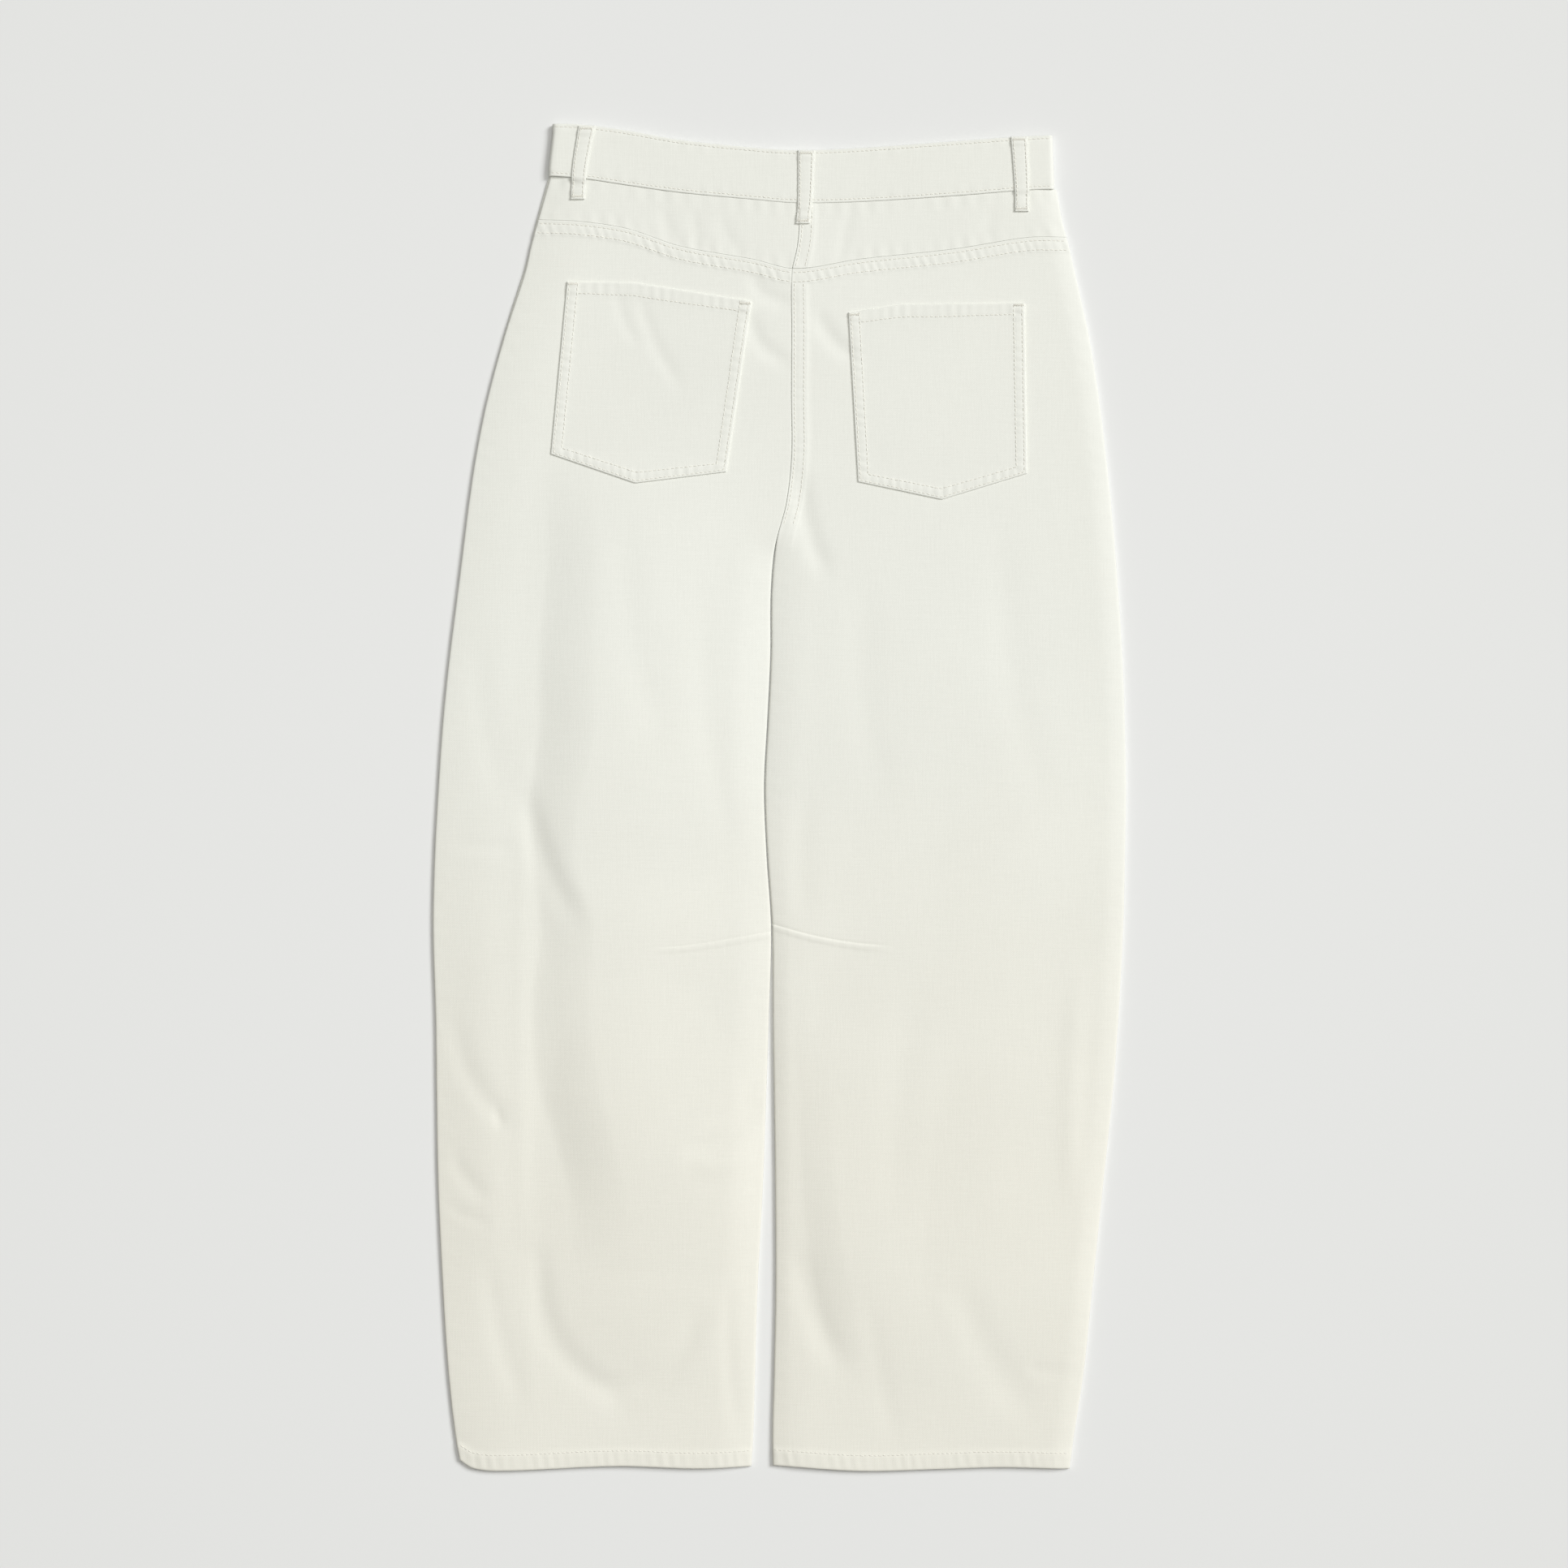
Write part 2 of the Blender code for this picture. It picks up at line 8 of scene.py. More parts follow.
import bpy
import numpy as np
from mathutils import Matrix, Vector


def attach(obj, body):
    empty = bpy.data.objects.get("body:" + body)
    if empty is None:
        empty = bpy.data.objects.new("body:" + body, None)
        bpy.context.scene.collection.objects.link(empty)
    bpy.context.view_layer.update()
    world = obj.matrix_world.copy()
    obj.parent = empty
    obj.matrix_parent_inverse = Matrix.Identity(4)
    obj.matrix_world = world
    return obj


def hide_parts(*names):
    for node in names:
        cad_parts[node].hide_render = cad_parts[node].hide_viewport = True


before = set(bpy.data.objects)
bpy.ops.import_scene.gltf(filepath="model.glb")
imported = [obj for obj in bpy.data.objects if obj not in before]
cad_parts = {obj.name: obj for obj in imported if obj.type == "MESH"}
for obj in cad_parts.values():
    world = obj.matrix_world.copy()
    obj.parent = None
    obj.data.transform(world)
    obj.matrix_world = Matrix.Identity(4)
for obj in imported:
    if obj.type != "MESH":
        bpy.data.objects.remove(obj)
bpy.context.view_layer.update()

MM = 0.001
LENGTH = 1017.5
SEAM_GAP = 0.3
SEWN_GAP = 0.1
LEG_GAP = 0.8
INWARD = {"left": 1.0, "right": -1.0}

CLOTH = 1.4
FRONT_LEVEL = CLOTH + SEAM_GAP
FRONT_INSET = 1.9
FRONT_LENGTH = LENGTH - 50.0
UNDERSIDE = 0.15
HEM_BAND = 13.0
HEM_RAISE = 0.5
FELL_WIDTH = 11.0
FELL_RAISE = 0.5
SEAT_FELL_WIDTH = 12.0
CROTCH = 712.0
CROTCH_BLEND = 26.0
EDGE_RISE = {"left": 44.0, "right": 17.0}
INNER_RISE = 28.0
BASE_LIFT = 2.3
COLUMN_STEP = 2.3
ROW_STEP = 4.2
SEAT_ROW_STEP = 2.4
BAND_STEP = 2.6

WAIST_MIDDLE = 12.0
BAND_CLOTH = 1.9
BAND_BACK_LEVEL = 5.4
BAND_OVERLAP = 20.0
UNDERLAP_LEVEL = 3.15
UNDERLAP_RAMP = (28.0, 40.0)
BAND_LEFT = (-174.5, -171.5)
BAND_RIGHT = (207.4, 206.4)

BUTTON_RADIUS = 8.5
BUTTON_AT = (14.0, 977.5)
ZIP_LENGTH = 125.0
ZIP_TAPE = 0.7
ZIP_LEVEL = 2.85
TOOTH_PITCH = 1.25
TOOTH_STAGGER = 0.7
TOOTH_HALF_SIZE = (1.9, 0.5, 0.25)

FLOOR_LEVEL = -0.05
FLOOR_COLOUR = (0.777, 0.784, 0.782)

# Tones of the cloth at the seat and at the hems, where the darker, warmer tone is painted shade, then the
# light.
COOL_TINT = (0.945, 0.955, 0.895)
SHADED_HEM_TINT = (0.933, 0.921, 0.836)
WORLD_LIGHT = 0.2
WORLD_COLOUR = (1.0, 0.97, 0.88)
SUN_FROM = (6.4, 3.4, 6.4)
SUN_STRENGTH = 2.48
SUN_SPREAD = 26.0
SUN_COLOUR = (0.99, 0.995, 1.0)
LAMP_AT = (0.10, 0.14, 3.0)
LAMP_SIZE = 1.4
LAMP_POWER = 29.0
LAMP_COLOUR = (1.0, 0.995, 0.975)
CAMERA_AT = (0.0034, 0.0101, 2.80)

# The panels' edges across, at heights up the garment.
SECTIONS = {
    "up": (-5, 26, 75, 135, 215, 285, 340, 410, 465, 517, 566,
           615, 664, 700, 731, 768, 811, 860, 905, 925, 945, 980),
    "left_outer": (-239.0, -245.0, -250.5, -254.5, -258.2, -259.4, -260.0, -262.0, -260.8, -258.0, -254.6,
                   -249.6, -243.4, -238.9, -235.0, -229.4, -220.6, -207.2, -192.6, -188.0, -182.5, -172.6),
    "left_inner": (-21.5, -19.5, -18.0, -16.3, -12.2, -9.6, -7.8, -6.0, -9.4, -11.3, -8.9,
                   -6.6, -6.2, -2.8, 5.2, 9.2, 9.0, 9.2, 9.4, 13.5, 15.0, 15.0),
    "right_inner": (-5.0, -5.8, -4.6, -3.4, -3.6, -4.6, -5.4, -5.8, -9.4, -11.3, -8.9,
                    -6.6, -6.2, -2.8, 5.2, 9.2, 9.0, 9.2, 9.4, 13.5, 15.0, 15.0),
    "right_outer": (218.5, 222.5, 230.0, 236.2, 244.5, 251.8, 256.0, 259.8, 261.2, 262.0, 261.0,
                    259.2, 256.1, 253.4, 250.6, 246.6, 241.4, 233.4, 223.4, 218.8, 213.6, 207.6),
}
# The waistband's top, its seam and the yoke's seam.
WAIST = {
    "across": (-180, -150, -115, -75, -20, 12, 60, 133, 186, 215),
    "top": (1017.5, 1016.6, 1012.0, 1005.0, 999.2, 997.2, 998.8, 1004.0, 1007.7, 1009.0),
    "seam": (978.4, 976.0, 970.8, 965.2, 960.0, 957.4, 958.2, 962.8, 967.0, 968.0),
    "yoke": (945.2, 943.6, 938.2, 925.0, 915.0, 907.9, 915.0, 923.0, 931.4, 932.0),
}
HEM = {
    "across": (-241, -232, -212, -123, -62, -21, -5, 61, 122, 167, 218),
    "up": (7.5, 2.0, 0.0, 3.6, 1.8, 3.4, 4.0, 0.0, 1.5, 2.8, 1.5),
}
# The knee darts, each with the place across of its tip.
DARTS = {
    "left": {"across": (-97.0, -68.0, -6.0), "up": (394.8, 396.8, 406.8), "tip": -95.0},
    "right": {"across": (-6.0, 26.0, 57.0, 89.0), "up": (412.6, 404.0, 398.5, 396.0), "tip": 87.0},
}
# Where the cloth stands off the surface in broad soft swells.
SWELLS = (
    # across, up, reach to the left, right, down and up, height, crispness of its foot
    (12, 870, 150, 150, 150, 150, 1.0, 2.0),
    (-100, 600, 100, 100, 260, 300, 1.6, 2.0),
    (128, 590, 130, 130, 270, 270, 1.6, 2.0),
    (-108, 150, 86, 110, 92, 230, 3.4, 1.25),
    (-214, 300, 46, 50, 240, 240, 1.2, 2.0),
    (112, 230, 96, 130, 200, 230, 2.0, 1.6),
    (168, 150, 60, 110, 84, 200, 1.6, 1.4),
    (190, 430, 80, 80, 200, 200, 0.8, 2.0),
)
# Long soft steps down the legs: the cloth to the right of the line stands higher than at its left.
STEPS = (
    {
        "up": (150, 205, 245, 290, 350, 410, 455, 500, 560, 620, 690, 770),
        "across": (-156, -158, -168, -182, -187, -181, -186, -190, -182, -182, -176, -178),
        "width": (42, 42, 44, 46, 44, 40, 32, 38, 42, 42, 38, 36),
        "rise": (0.0, 2.6, 4.2, 4.8, 4.7, 4.5, 4.0, 4.8, 4.8, 4.2, 2.8, 0.0),
    },
    {
        "up": (60, 110, 160, 220, 280, 340),
        "across": (46, 32, 22, 16, 14, 12),
        "width": (30, 30, 28, 26, 26, 26),
        "rise": (0.0, 1.5, 2.2, 2.2, 1.4, 0.0),
    },
)
# Folds from one place to another, with how far each bows, its width, ridge and roll.
FOLDS = (
    # across_0, up_0, across_1, up_1, bow, width, ridge, roll
    (-187, 506, -152, 420, 4, 10, -0.9, -0.9),
    (-192, 520, -188, 90, 5, 7, 0.3, 0.0),
    (-180, 160, -120, 58, 18, 11, -0.9, -0.8),
    (-122, 60, -60, 110, 12, 11, -0.9, 0.6),
    (-250, 336, -213, 266, 6, 9, -0.9, 0.6),
    (-248, 236, -226, 208, 3, 7, -0.9, 0.6),
    (-64, 240, -12, 276, 5, 8, -1.2, 0.7),
    (14, 158, 41, 84, 4, 11, -1.2, 0.5),
    (16, 505, 15, 422, 2, 10, -0.6, 0.3),
    (14, 748, 31, 682, 3, 8, -1.2, 0.5),
    (28, 870, 54, 840, 3, 7, -0.9, 0.5),
    (-22, 898, 6, 880, 4, 7, -0.8, 0.5),
    (-24, 868, 2, 836, 5, 7, -0.8, 0.5),
    (133, 134, 180, 48, 4, 15, -1.0, 0.6),
    (226, 356, 222, 216, 2, 9, 0.8, 0.3),
    (3, 400, 4, 72, 1, 7, 0.7, 0.0),
)
# Finer creases that the cloth shows from close to, in the same columns.
CREASES = (
    (-243, 472, -204, 470, 1, 4, -0.5, 0.3),
    (-252, 200, -222, 187, 2, 4, -0.6, 0.4),
    (-214, 272, -210, 262, 0, 3, -0.8, 0.0),
    (-105, 879, -80, 824, 3, 6, -0.5, 0.3),
    (-124, 886, -110, 852, 2, 6, -0.4, 0.3),
    (-88, 950, -80, 926, 1, 5, -0.5, 0.2),
    (-66, 948, -60, 922, 1, 5, -0.4, 0.2),
    (-44, 946, -30, 920, 1, 5, -0.4, -0.2),
    (52, 948, 46, 918, 1, 5, -0.4, 0.2),
    (160, 950, 154, 930, 1, 5, -0.3, 0.2),
    (190, 76, 214, 74, 1, 4, -0.5, 0.3),
    (-60, 230, -20, 238, 3, 5, 0.5, 0.0),
    (-50, 262, -16, 292, 3, 5, -0.5, 0.3),
    (-226, 620, -210, 520, 4, 12, -0.5, -0.3),
    (-120, 700, -96, 560, 6, 14, -0.5, 0.3),
    (-60, 640, -40, 480, 5, 12, -0.5, 0.2),
    (60, 660, 72, 520, 5, 14, -0.5, 0.2),
    (170, 700, 196, 520, 6, 14, -0.5, -0.2),
    (98, 350, 84, 210, 5, 14, -0.5, 0.2),
    (-222, 150, -200, 60, 3, 9, -0.6, 0.3),
    (66, 120, 84, 30, 2, 9, -0.4, 0.2),
    (-40, 130, -34, 40, 2, 7, -0.6, 0.3),
)
POCKETS = {
    # Across and up of the lower left corner, the point, the lower right corner, and the top from right to left.
    "left": (
        (-172.7, 767.8), (-108.9, 745.7), (-40.2, 754.3),
        (-21.2, 883.1), (-108.9, 897.0), (-160.4, 897.9),
    ),
    "right": (
        (59.2, 746.9), (122.4, 733.4), (186.8, 753.1),
        (185.0, 881.9), (92.9, 880.7), (51.8, 874.5),
    ),
}
POCKET_HEM = 11.0
POCKET_CLOTH = 1.0
LOOPS = {
    "left": {"across": (-152.4, -150.6, -145.3), "up": (960.1, 985.0, 1015.6)},
    "middle": {"across": (17.5, 19.2, 20.2), "up": (941.6, 957.4, 997.0)},
    "right": {"across": (182.8, 183.0, 180.7), "up": (950.9, 966.6, 1007.2)},
}
LOOP_WIDTH = (12.6, 10.6)
LOOP_STEP = 4.0
LOOP_CLOTH = 1.2

# Rows of stitches, in from the edge of the cloth they sew.
HEM_ROW = HEM_BAND - 1.0
FELL_ROWS = (3.0, FELL_WIDTH - 1.0)
SEAT_ROWS = (2.2, SEAT_FELL_WIDTH - 2.6)
BAND_ROW = 2.4
POCKET_ROWS = (2.0, 8.2)
POCKET_HEM_ROW = POCKET_HEM - 1.4
LOOP_ROW = 1.8
LOOP_TACK = 2.2

STITCH = 2.6
STITCH_PITCH = 3.4
STITCH_TURN = 0.07
STITCH_WANDER = 0.06
THREAD = 0.34

# How a folded edge turns down: places in from the edge and drops, of its outer and its inner face.
EDGE_TURN = {
    "outer": (0.1, 0.0, 0.05, 0.2, 0.6, 1.4),
    "outer_drop": (2.75, 2.0, 1.25, 0.6, 0.15, 0.0),
    "inner": (1.2, 1.1, 1.15, 1.3, 1.6, 2.1),
    "inner_drop": (1.35, 0.7, 0.35, 0.1, -0.05, -0.1),
}
# How a sewn edge, which lies against its neighbour, is rounded over.
SEAM_TURN = {"outer": (0.0, 0.0, 0.05, 0.25, 0.7, 1.4), "outer_drop": (0.8, 0.4, 0.2, 0.08, 0.02, 0.0)}
HEM_TURN = {
    "outer": (0.3, 0.0, 0.2, 0.8, 1.8),
    "outer_drop": (1.9, 1.2, 0.55, 0.1, 0.0),
    "inner": (0.35, 0.8, 1.3, 2.0, 2.6),
    "inner_drop": (-0.25, -0.1, 0.0, 0.0, 0.0),
}


def smooth(along, values, at):
    """Reads values off the smooth curve through a table's rows."""
    along, values = np.asarray(along, float), np.asarray(values, float)
    at = np.clip(at, along[0], along[-1])
    row = np.clip(np.searchsorted(along, at, side="right") - 1, 0, len(along) - 2)
    span = along[row + 1] - along[row]
    part = (at - along[row]) / span
    before = np.maximum(np.arange(len(along)) - 1, 0)
    after = np.minimum(np.arange(len(along)) + 1, len(along) - 1)
    slope = (values[after] - values[before]) / (along[after] - along[before])
    square, cube = part**2, part**3
    return (
        values[row] * (2 * cube - 3 * square + 1)
        + slope[row] * span * (cube - 2 * square + part)
        + values[row + 1] * (3 * square - 2 * cube)
        + slope[row + 1] * span * (cube - square)
    )


def ease(low, high, at):
    """Goes smoothly from 0 at low to 1 at high."""
    part = np.clip((at - low) / (high - low), 0.0, 1.0)
    return part * part * (3 - 2 * part)


def in_frame(across, up, level):
    """Turns millimetres measured on the garment into the frame's metres."""
    across, up, level = np.broadcast_arrays(across, up, level)
    return np.stack([across * MM, (up - LENGTH / 2) * MM, level * MM], axis=-1)


def legs_apart(up):
    """Is 0 where the two sides are sewn at the seat and 1 where the legs are apart."""
    return 1.0 - ease(CROTCH - CROTCH_BLEND, CROTCH, up)


def edges(side, up):
    """Gives the outer and inner edge of one side of the garment at a height."""
    apart = legs_apart(up)
    half_gap = (SEWN_GAP * (1 - apart) + LEG_GAP * apart) / 2
    inner = smooth(SECTIONS["up"], SECTIONS[side + "_inner"], up)
    outer = smooth(SECTIONS["up"], SECTIONS[side + "_outer"], up)
    return outer, inner + (-half_gap if side == "left" else half_gap)


def seat_seam(up):
    """Gives where the seat seam and the crotch seam run across."""
    return smooth(SECTIONS["up"], SECTIONS["left_inner"], up)


def hem_line(across):
    return smooth(HEM["across"], HEM["up"], across)


def waist_line(name, across):
    return smooth(WAIST["across"], WAIST[name], across)


def dart_line(side, across):
    return smooth(DARTS[side]["across"], DARTS[side]["up"], across)


def dart_reach(side, across):
    """Is 1 along a knee dart and fades to 0 at its tip."""
    start = SECTIONS[side + "_inner"][7]
    return 1.0 - ease(0.72, 1.03, (across - start) / (DARTS[side]["tip"] - start))


def fold_height(fold, across, up):
    """Gives what one fold adds to the cloth's level at each place."""
    across_0, up_0, across_1, up_1, bow, width, ridge, roll = fold
    run_across, run_up = across_1 - across_0, up_1 - up_0
    reach = math.hypot(run_across, run_up)
    along = ((across - across_0) * run_across + (up - up_0) * run_up) / reach**2
    aside = ((across - across_0) * run_up - (up - up_0) * run_across) / reach
    aside = (aside - bow * np.sin(math.pi * np.clip(along, 0, 1))) / width
    fade = ease(-0.25, 0.2, along) * (1.0 - ease(0.8, 1.25, along))
    return (ridge + roll * aside) * np.exp(-aside * aside) * fade


def step_height(step, across, up):
    """Gives what a long soft step adds: none left of its line, most a width to its right."""
    line, width, rise = (smooth(step["up"], step[column], up) for column in ("across", "width", "rise"))
    aside = (across - line) / width
    part = np.clip(aside, 0.0, 1.0)
    risen = part**1.35 * (2.0 - part)
    return rise * risen * (1.0 - ease(1.0, 5.0, aside))


def ripple(along, length, turn):
    """Gives an uneven wave, as cloth puckers beside a row of stitches."""
    slow = np.sin(along / (length * 2.3) + turn * 2.1)
    strength = 0.65 + 0.35 * np.sin(along / (length * 0.9) + turn)
    return np.sin(math.tau * along / length + turn + 1.3 * slow) * strength


def between_rows(distance, low, high):
    """Is 1 between two stitch rows beside an edge and fades to 0 outside them."""
    return ease(low - 2.0, low + 1.0, distance) * (1.0 - ease(high - 1.0, high + 4.0, distance))


def groove(distance, at, depth=0.22, width=0.8):
    """Is the small trough that a row of stitches pulls down."""
    return -depth * np.exp(-(((distance - at) / width) ** 2))


def base_level(side, across, up):
    """Gives the level of the inner face of the back of the garment."""
    outer, inner = edges(side, up)
    edge = 1.0 - (1.0 - np.minimum(np.abs(across - outer) / EDGE_RISE[side], 1.0)) ** 2
    inside = 1.0 - (1.0 - np.minimum(np.abs(across - inner) / INNER_RISE, 1.0)) ** 2
    held = edge * (1.0 + (inside - 1.0) * legs_apart(up))
    height = np.full(np.shape(across), BASE_LIFT)
    for middle, height_up, left, right, down, upward, top, crisp in SWELLS:
        far = ((across - middle) / np.where(across < middle, left, right)) ** 2
        far = far + ((up - height_up) / np.where(up < height_up, down, upward)) ** 2
        height = height + top * np.maximum(1.0 - far, 0.0) ** crisp
    for step in STEPS:
        height = height + step_height(step, across, up)
    for fold in FOLDS + CREASES:
        height = height + fold_height(fold, across, up)
    return FRONT_LEVEL + np.maximum(height, 0.0) * held


def sewn_relief(side, across, up):
    """Gives what hems, felled seams, darts and the pull of their stitches add to the outer face."""
    outer, inner = edges(side, up)
    from_outer, from_inner = np.abs(across - outer), np.abs(across - inner)
    sewn = 1.0 - legs_apart(up)
    from_hem = up - hem_line(across)
    below_yoke = waist_line("yoke", across) - up
    above_yoke, below_waist = -below_yoke, waist_line("seam", across) - up

    raised = HEM_RAISE * (1.0 - ease(HEM_BAND - 1.2, HEM_BAND + 1.6, from_hem))
    pucker = ripple(across + 0.15 * from_hem, 8.0, 0.7) * between_rows(from_hem, 2.0, HEM_BAND - 3.0)
    raised = raised + 0.2 * pucker
    raised = raised + groove(from_hem, HEM_ROW)

    leg = below_yoke >= 0
    fell = FELL_RAISE * (1.0 - ease(FELL_WIDTH - 1.0, FELL_WIDTH + 2.0, below_yoke))
    fell = fell + 0.32 * ripple(across + 0.4 * up, 7.0, 1.9) * between_rows(below_yoke, 4.0, 10.0)
    fell = fell + groove(below_yoke, FELL_ROWS[0]) + groove(below_yoke, FELL_ROWS[1])
    raised = np.where(leg, np.maximum(raised, fell), 0.0)

    if side == "right":
        seat = FELL_RAISE * (1.0 - ease(SEAT_FELL_WIDTH - 1.4, SEAT_FELL_WIDTH + 2.2, from_inner))
        seat = seat + 0.24 * ripple(up, 7.5, 0.4) * between_rows(from_inner, 2.5, 10.0)
        seat = seat + groove(from_inner, SEAT_ROWS[0]) + groove(from_inner, SEAT_ROWS[1])
        raised = np.maximum(raised, seat * sewn)

    apart = legs_apart(up)
    raised = raised + apart * 0.16 * ripple(up, 13.0, 2.2) * between_rows(from_inner, 3.0, 9.0) * leg
    raised = raised + 0.12 * ripple(up, 15.0, 1.1) * between_rows(from_outer, 3.0, 10.0)

    below_dart = dart_line(side, across) - up
    dart = 0.4 * ease(-0.4, 0.6, below_dart) * (1.0 - ease(2.4, 5.4, below_dart))
    dart = dart - 0.25 * np.exp(-(((below_dart + 0.5) / 0.8) ** 2))
    dart = dart + 0.1 * ripple(across, 8.0, 0.3) * between_rows(below_dart, 1.0, 4.0)
    raised = raised + dart * dart_reach(side, across) * leg

    raised = raised + 0.22 * ripple(across, 12.0, 0.9) * between_rows(above_yoke, 0.5, 6.0) * (above_yoke > 0)
    return raised + 0.2 * ripple(across, 13.0, 2.9) * between_rows(below_waist, 0.5, 7.0) * (below_waist < 40)


def back_level(side, across, up):
    """Gives the level of the outer face of the back of the garment."""
    return base_level(side, across, up) + CLOTH + sewn_relief(side, across, up)


def spread(first, last, step):
    """Gives evenly spaced places after first and before last, about a step apart."""
    count = max(int(round((last - first) / step)), 1)
    return [first + (last - first) * k / count for k in range(1, count)]


def only(thing):
    """Leaves one object selected and active."""
    bpy.ops.object.select_all(action="DESELECT")
    thing.select_set(True)
    bpy.context.view_layer.objects.active = thing


def wall(name, outer, inner, material):
    """Makes a closed wall of cloth: a grid is given a thickness, then its two faces are shaped.

    outer and inner hold a place in the frame for each row and column of the grid.
    """
    rows, columns = outer.shape[:2]
    bpy.ops.object.select_all(action="DESELECT")
    bpy.ops.mesh.primitive_grid_add(x_subdivisions=columns - 1, y_subdivisions=rows - 1, size=2.0)
    cloth = bpy.context.object
    cloth.name = cloth.data.name = name
    flat = np.empty(rows * columns * 3)
    cloth.data.vertices.foreach_get("co", flat)
    flat = flat.reshape(-1, 3)
    column = np.rint((flat[:, 0] + 1) / 2 * (columns - 1)).astype(int)
    row = np.rint((flat[:, 1] + 1) / 2 * (rows - 1)).astype(int)
    thick = cloth.modifiers.new("thickness", "SOLIDIFY")
    thick.thickness = 0.01
    bpy.ops.object.modifier_apply(modifier=thick.name)
    both = np.concatenate([outer[row, column], inner[row, column]])
    cloth.data.vertices.foreach_set("co", both.ravel())
    bpy.ops.object.mode_set(mode="EDIT")
    bpy.ops.mesh.select_all(action="SELECT")
    bpy.ops.mesh.normals_make_consistent(inside=False)
    bpy.ops.object.mode_set(mode="OBJECT")
    bpy.ops.object.shade_smooth_by_angle(angle=math.radians(50))
    cloth.data.materials.append(material)
    return cloth


def back_grid(side, lines):
    """Gives the places across and up of a back piece's grid, outer edge first, and its edge turns."""
    turned = np.array(EDGE_TURN["outer"] + (3.0, 4.5, 6.5, 9.0, 11.0, 11.8, 12.6, 14.0))
    sewn = np.array(SEAM_TURN["outer"] + (2.3, 4.5, 6.5, 9.0, 11.0, 11.8, 12.6, 14.0))
    middle = spread(0.0, 1.0, COLUMN_STEP / 225.0)
    way = INWARD[side]

    def across_at(up):
        outer, inner = edges(side, np.asarray(up).mean())
        apart = legs_apart(np.asarray(up).mean())
        from_inner = turned * apart + sewn * (1 - apart)
        first, last = outer + way * turned[-1], inner - way * from_inner[-1]
        body = [first + (last - first) * part for part in middle]
        return np.concatenate([outer + way * turned, body, (inner - way * from_inner)[::-1]])

    across, up = [], []
    for line in lines:
        row_across = across_at(line(np.full(1, WAIST_MIDDLE)))
        for _ in range(3):
            row_up = line(row_across)
            row_across = np.array([across_at(height)[k] for k, height in ((0, row_up[0]), (-1, row_up[-1]))])
            spans = across_at(row_up.mean())
            stretch = (spans - spans[0]) / (spans[-1] - spans[0])
            row_across = row_across[0] + (row_across[1] - row_across[0]) * stretch
        across.append(row_across)
        up.append(line(row_across))
    return np.array(across), np.array(up)


def turned_edges(side, across, up, turned_hem):
    """Gives how the outer and inner faces move in and down along a back piece's edges."""
    rows, columns = across.shape
    way = INWARD[side]
    out_drop, in_drop, in_shift = (np.zeros((rows, columns)) for _ in range(3))
    count = len(EDGE_TURN["outer"])
    apart = legs_apart(up)
    for k in range(count):
        out_drop[:, k] = EDGE_TURN["outer_drop"][k]
        in_drop[:, k] = EDGE_TURN["inner_drop"][k]
        in_shift[:, k] = way * (EDGE_TURN["inner"][k] - EDGE_TURN["outer"][k])
        far = columns - 1 - k
        blend = apart[:, far]
        out_drop[:, far] = EDGE_TURN["outer_drop"][k] * blend + SEAM_TURN["outer_drop"][k] * (1 - blend)
        in_drop[:, far] = EDGE_TURN["inner_drop"][k] * blend
        in_shift[:, far] = -way * (EDGE_TURN["inner"][k] - EDGE_TURN["outer"][k]) * blend
    up_shift = np.zeros((rows, columns))
    if turned_hem:
        for k in range(len(HEM_TURN["outer"])):
            out_drop[k] = np.maximum(out_drop[k], HEM_TURN["outer_drop"][k])
            in_drop[k] += HEM_TURN["inner_drop"][k]
            up_shift[k] = HEM_TURN["inner"][k] - HEM_TURN["outer"][k]
    return out_drop, in_drop, in_shift, up_shift


def back_piece(name, side, lines, material, turned_hem=False, top_drop=()):
    """Makes a back leg panel or a yoke as one wall of cloth with its hems, seams and creases."""
    across, up = back_grid(side, lines)
    out_drop, in_drop, in_shift, up_shift = turned_edges(side, across, up, turned_hem)
    for row, drop in top_drop:
        out_drop[row] = np.maximum(out_drop[row], drop)
    inner_level = base_level(side, across, up)
    outer_level = inner_level + CLOTH + sewn_relief(side, across, up) - out_drop
    outer = in_frame(across, up, np.maximum(outer_level, 0.3))
    inner = in_frame(across + in_shift, up + up_shift, np.maximum(inner_level - in_drop, 0.3))
    return wall(name, outer, inner, material)


def rim_drops(shape, turn):
    """Gives how a sheet's rim turns down on all four of its sides, a row of the grid for each step."""
    drop = np.zeros(shape)
    for k, amount in enumerate(turn):
        for edge in (drop[k], drop[-1 - k], drop[:, k], drop[:, -1 - k]):
            np.maximum(edge, amount, out=edge)
    return drop


def moved(line, by):
    return lambda across: line(across) + by


def mixed(low, high, part):
    return lambda across: low(across) * (1 - part) + high(across) * part


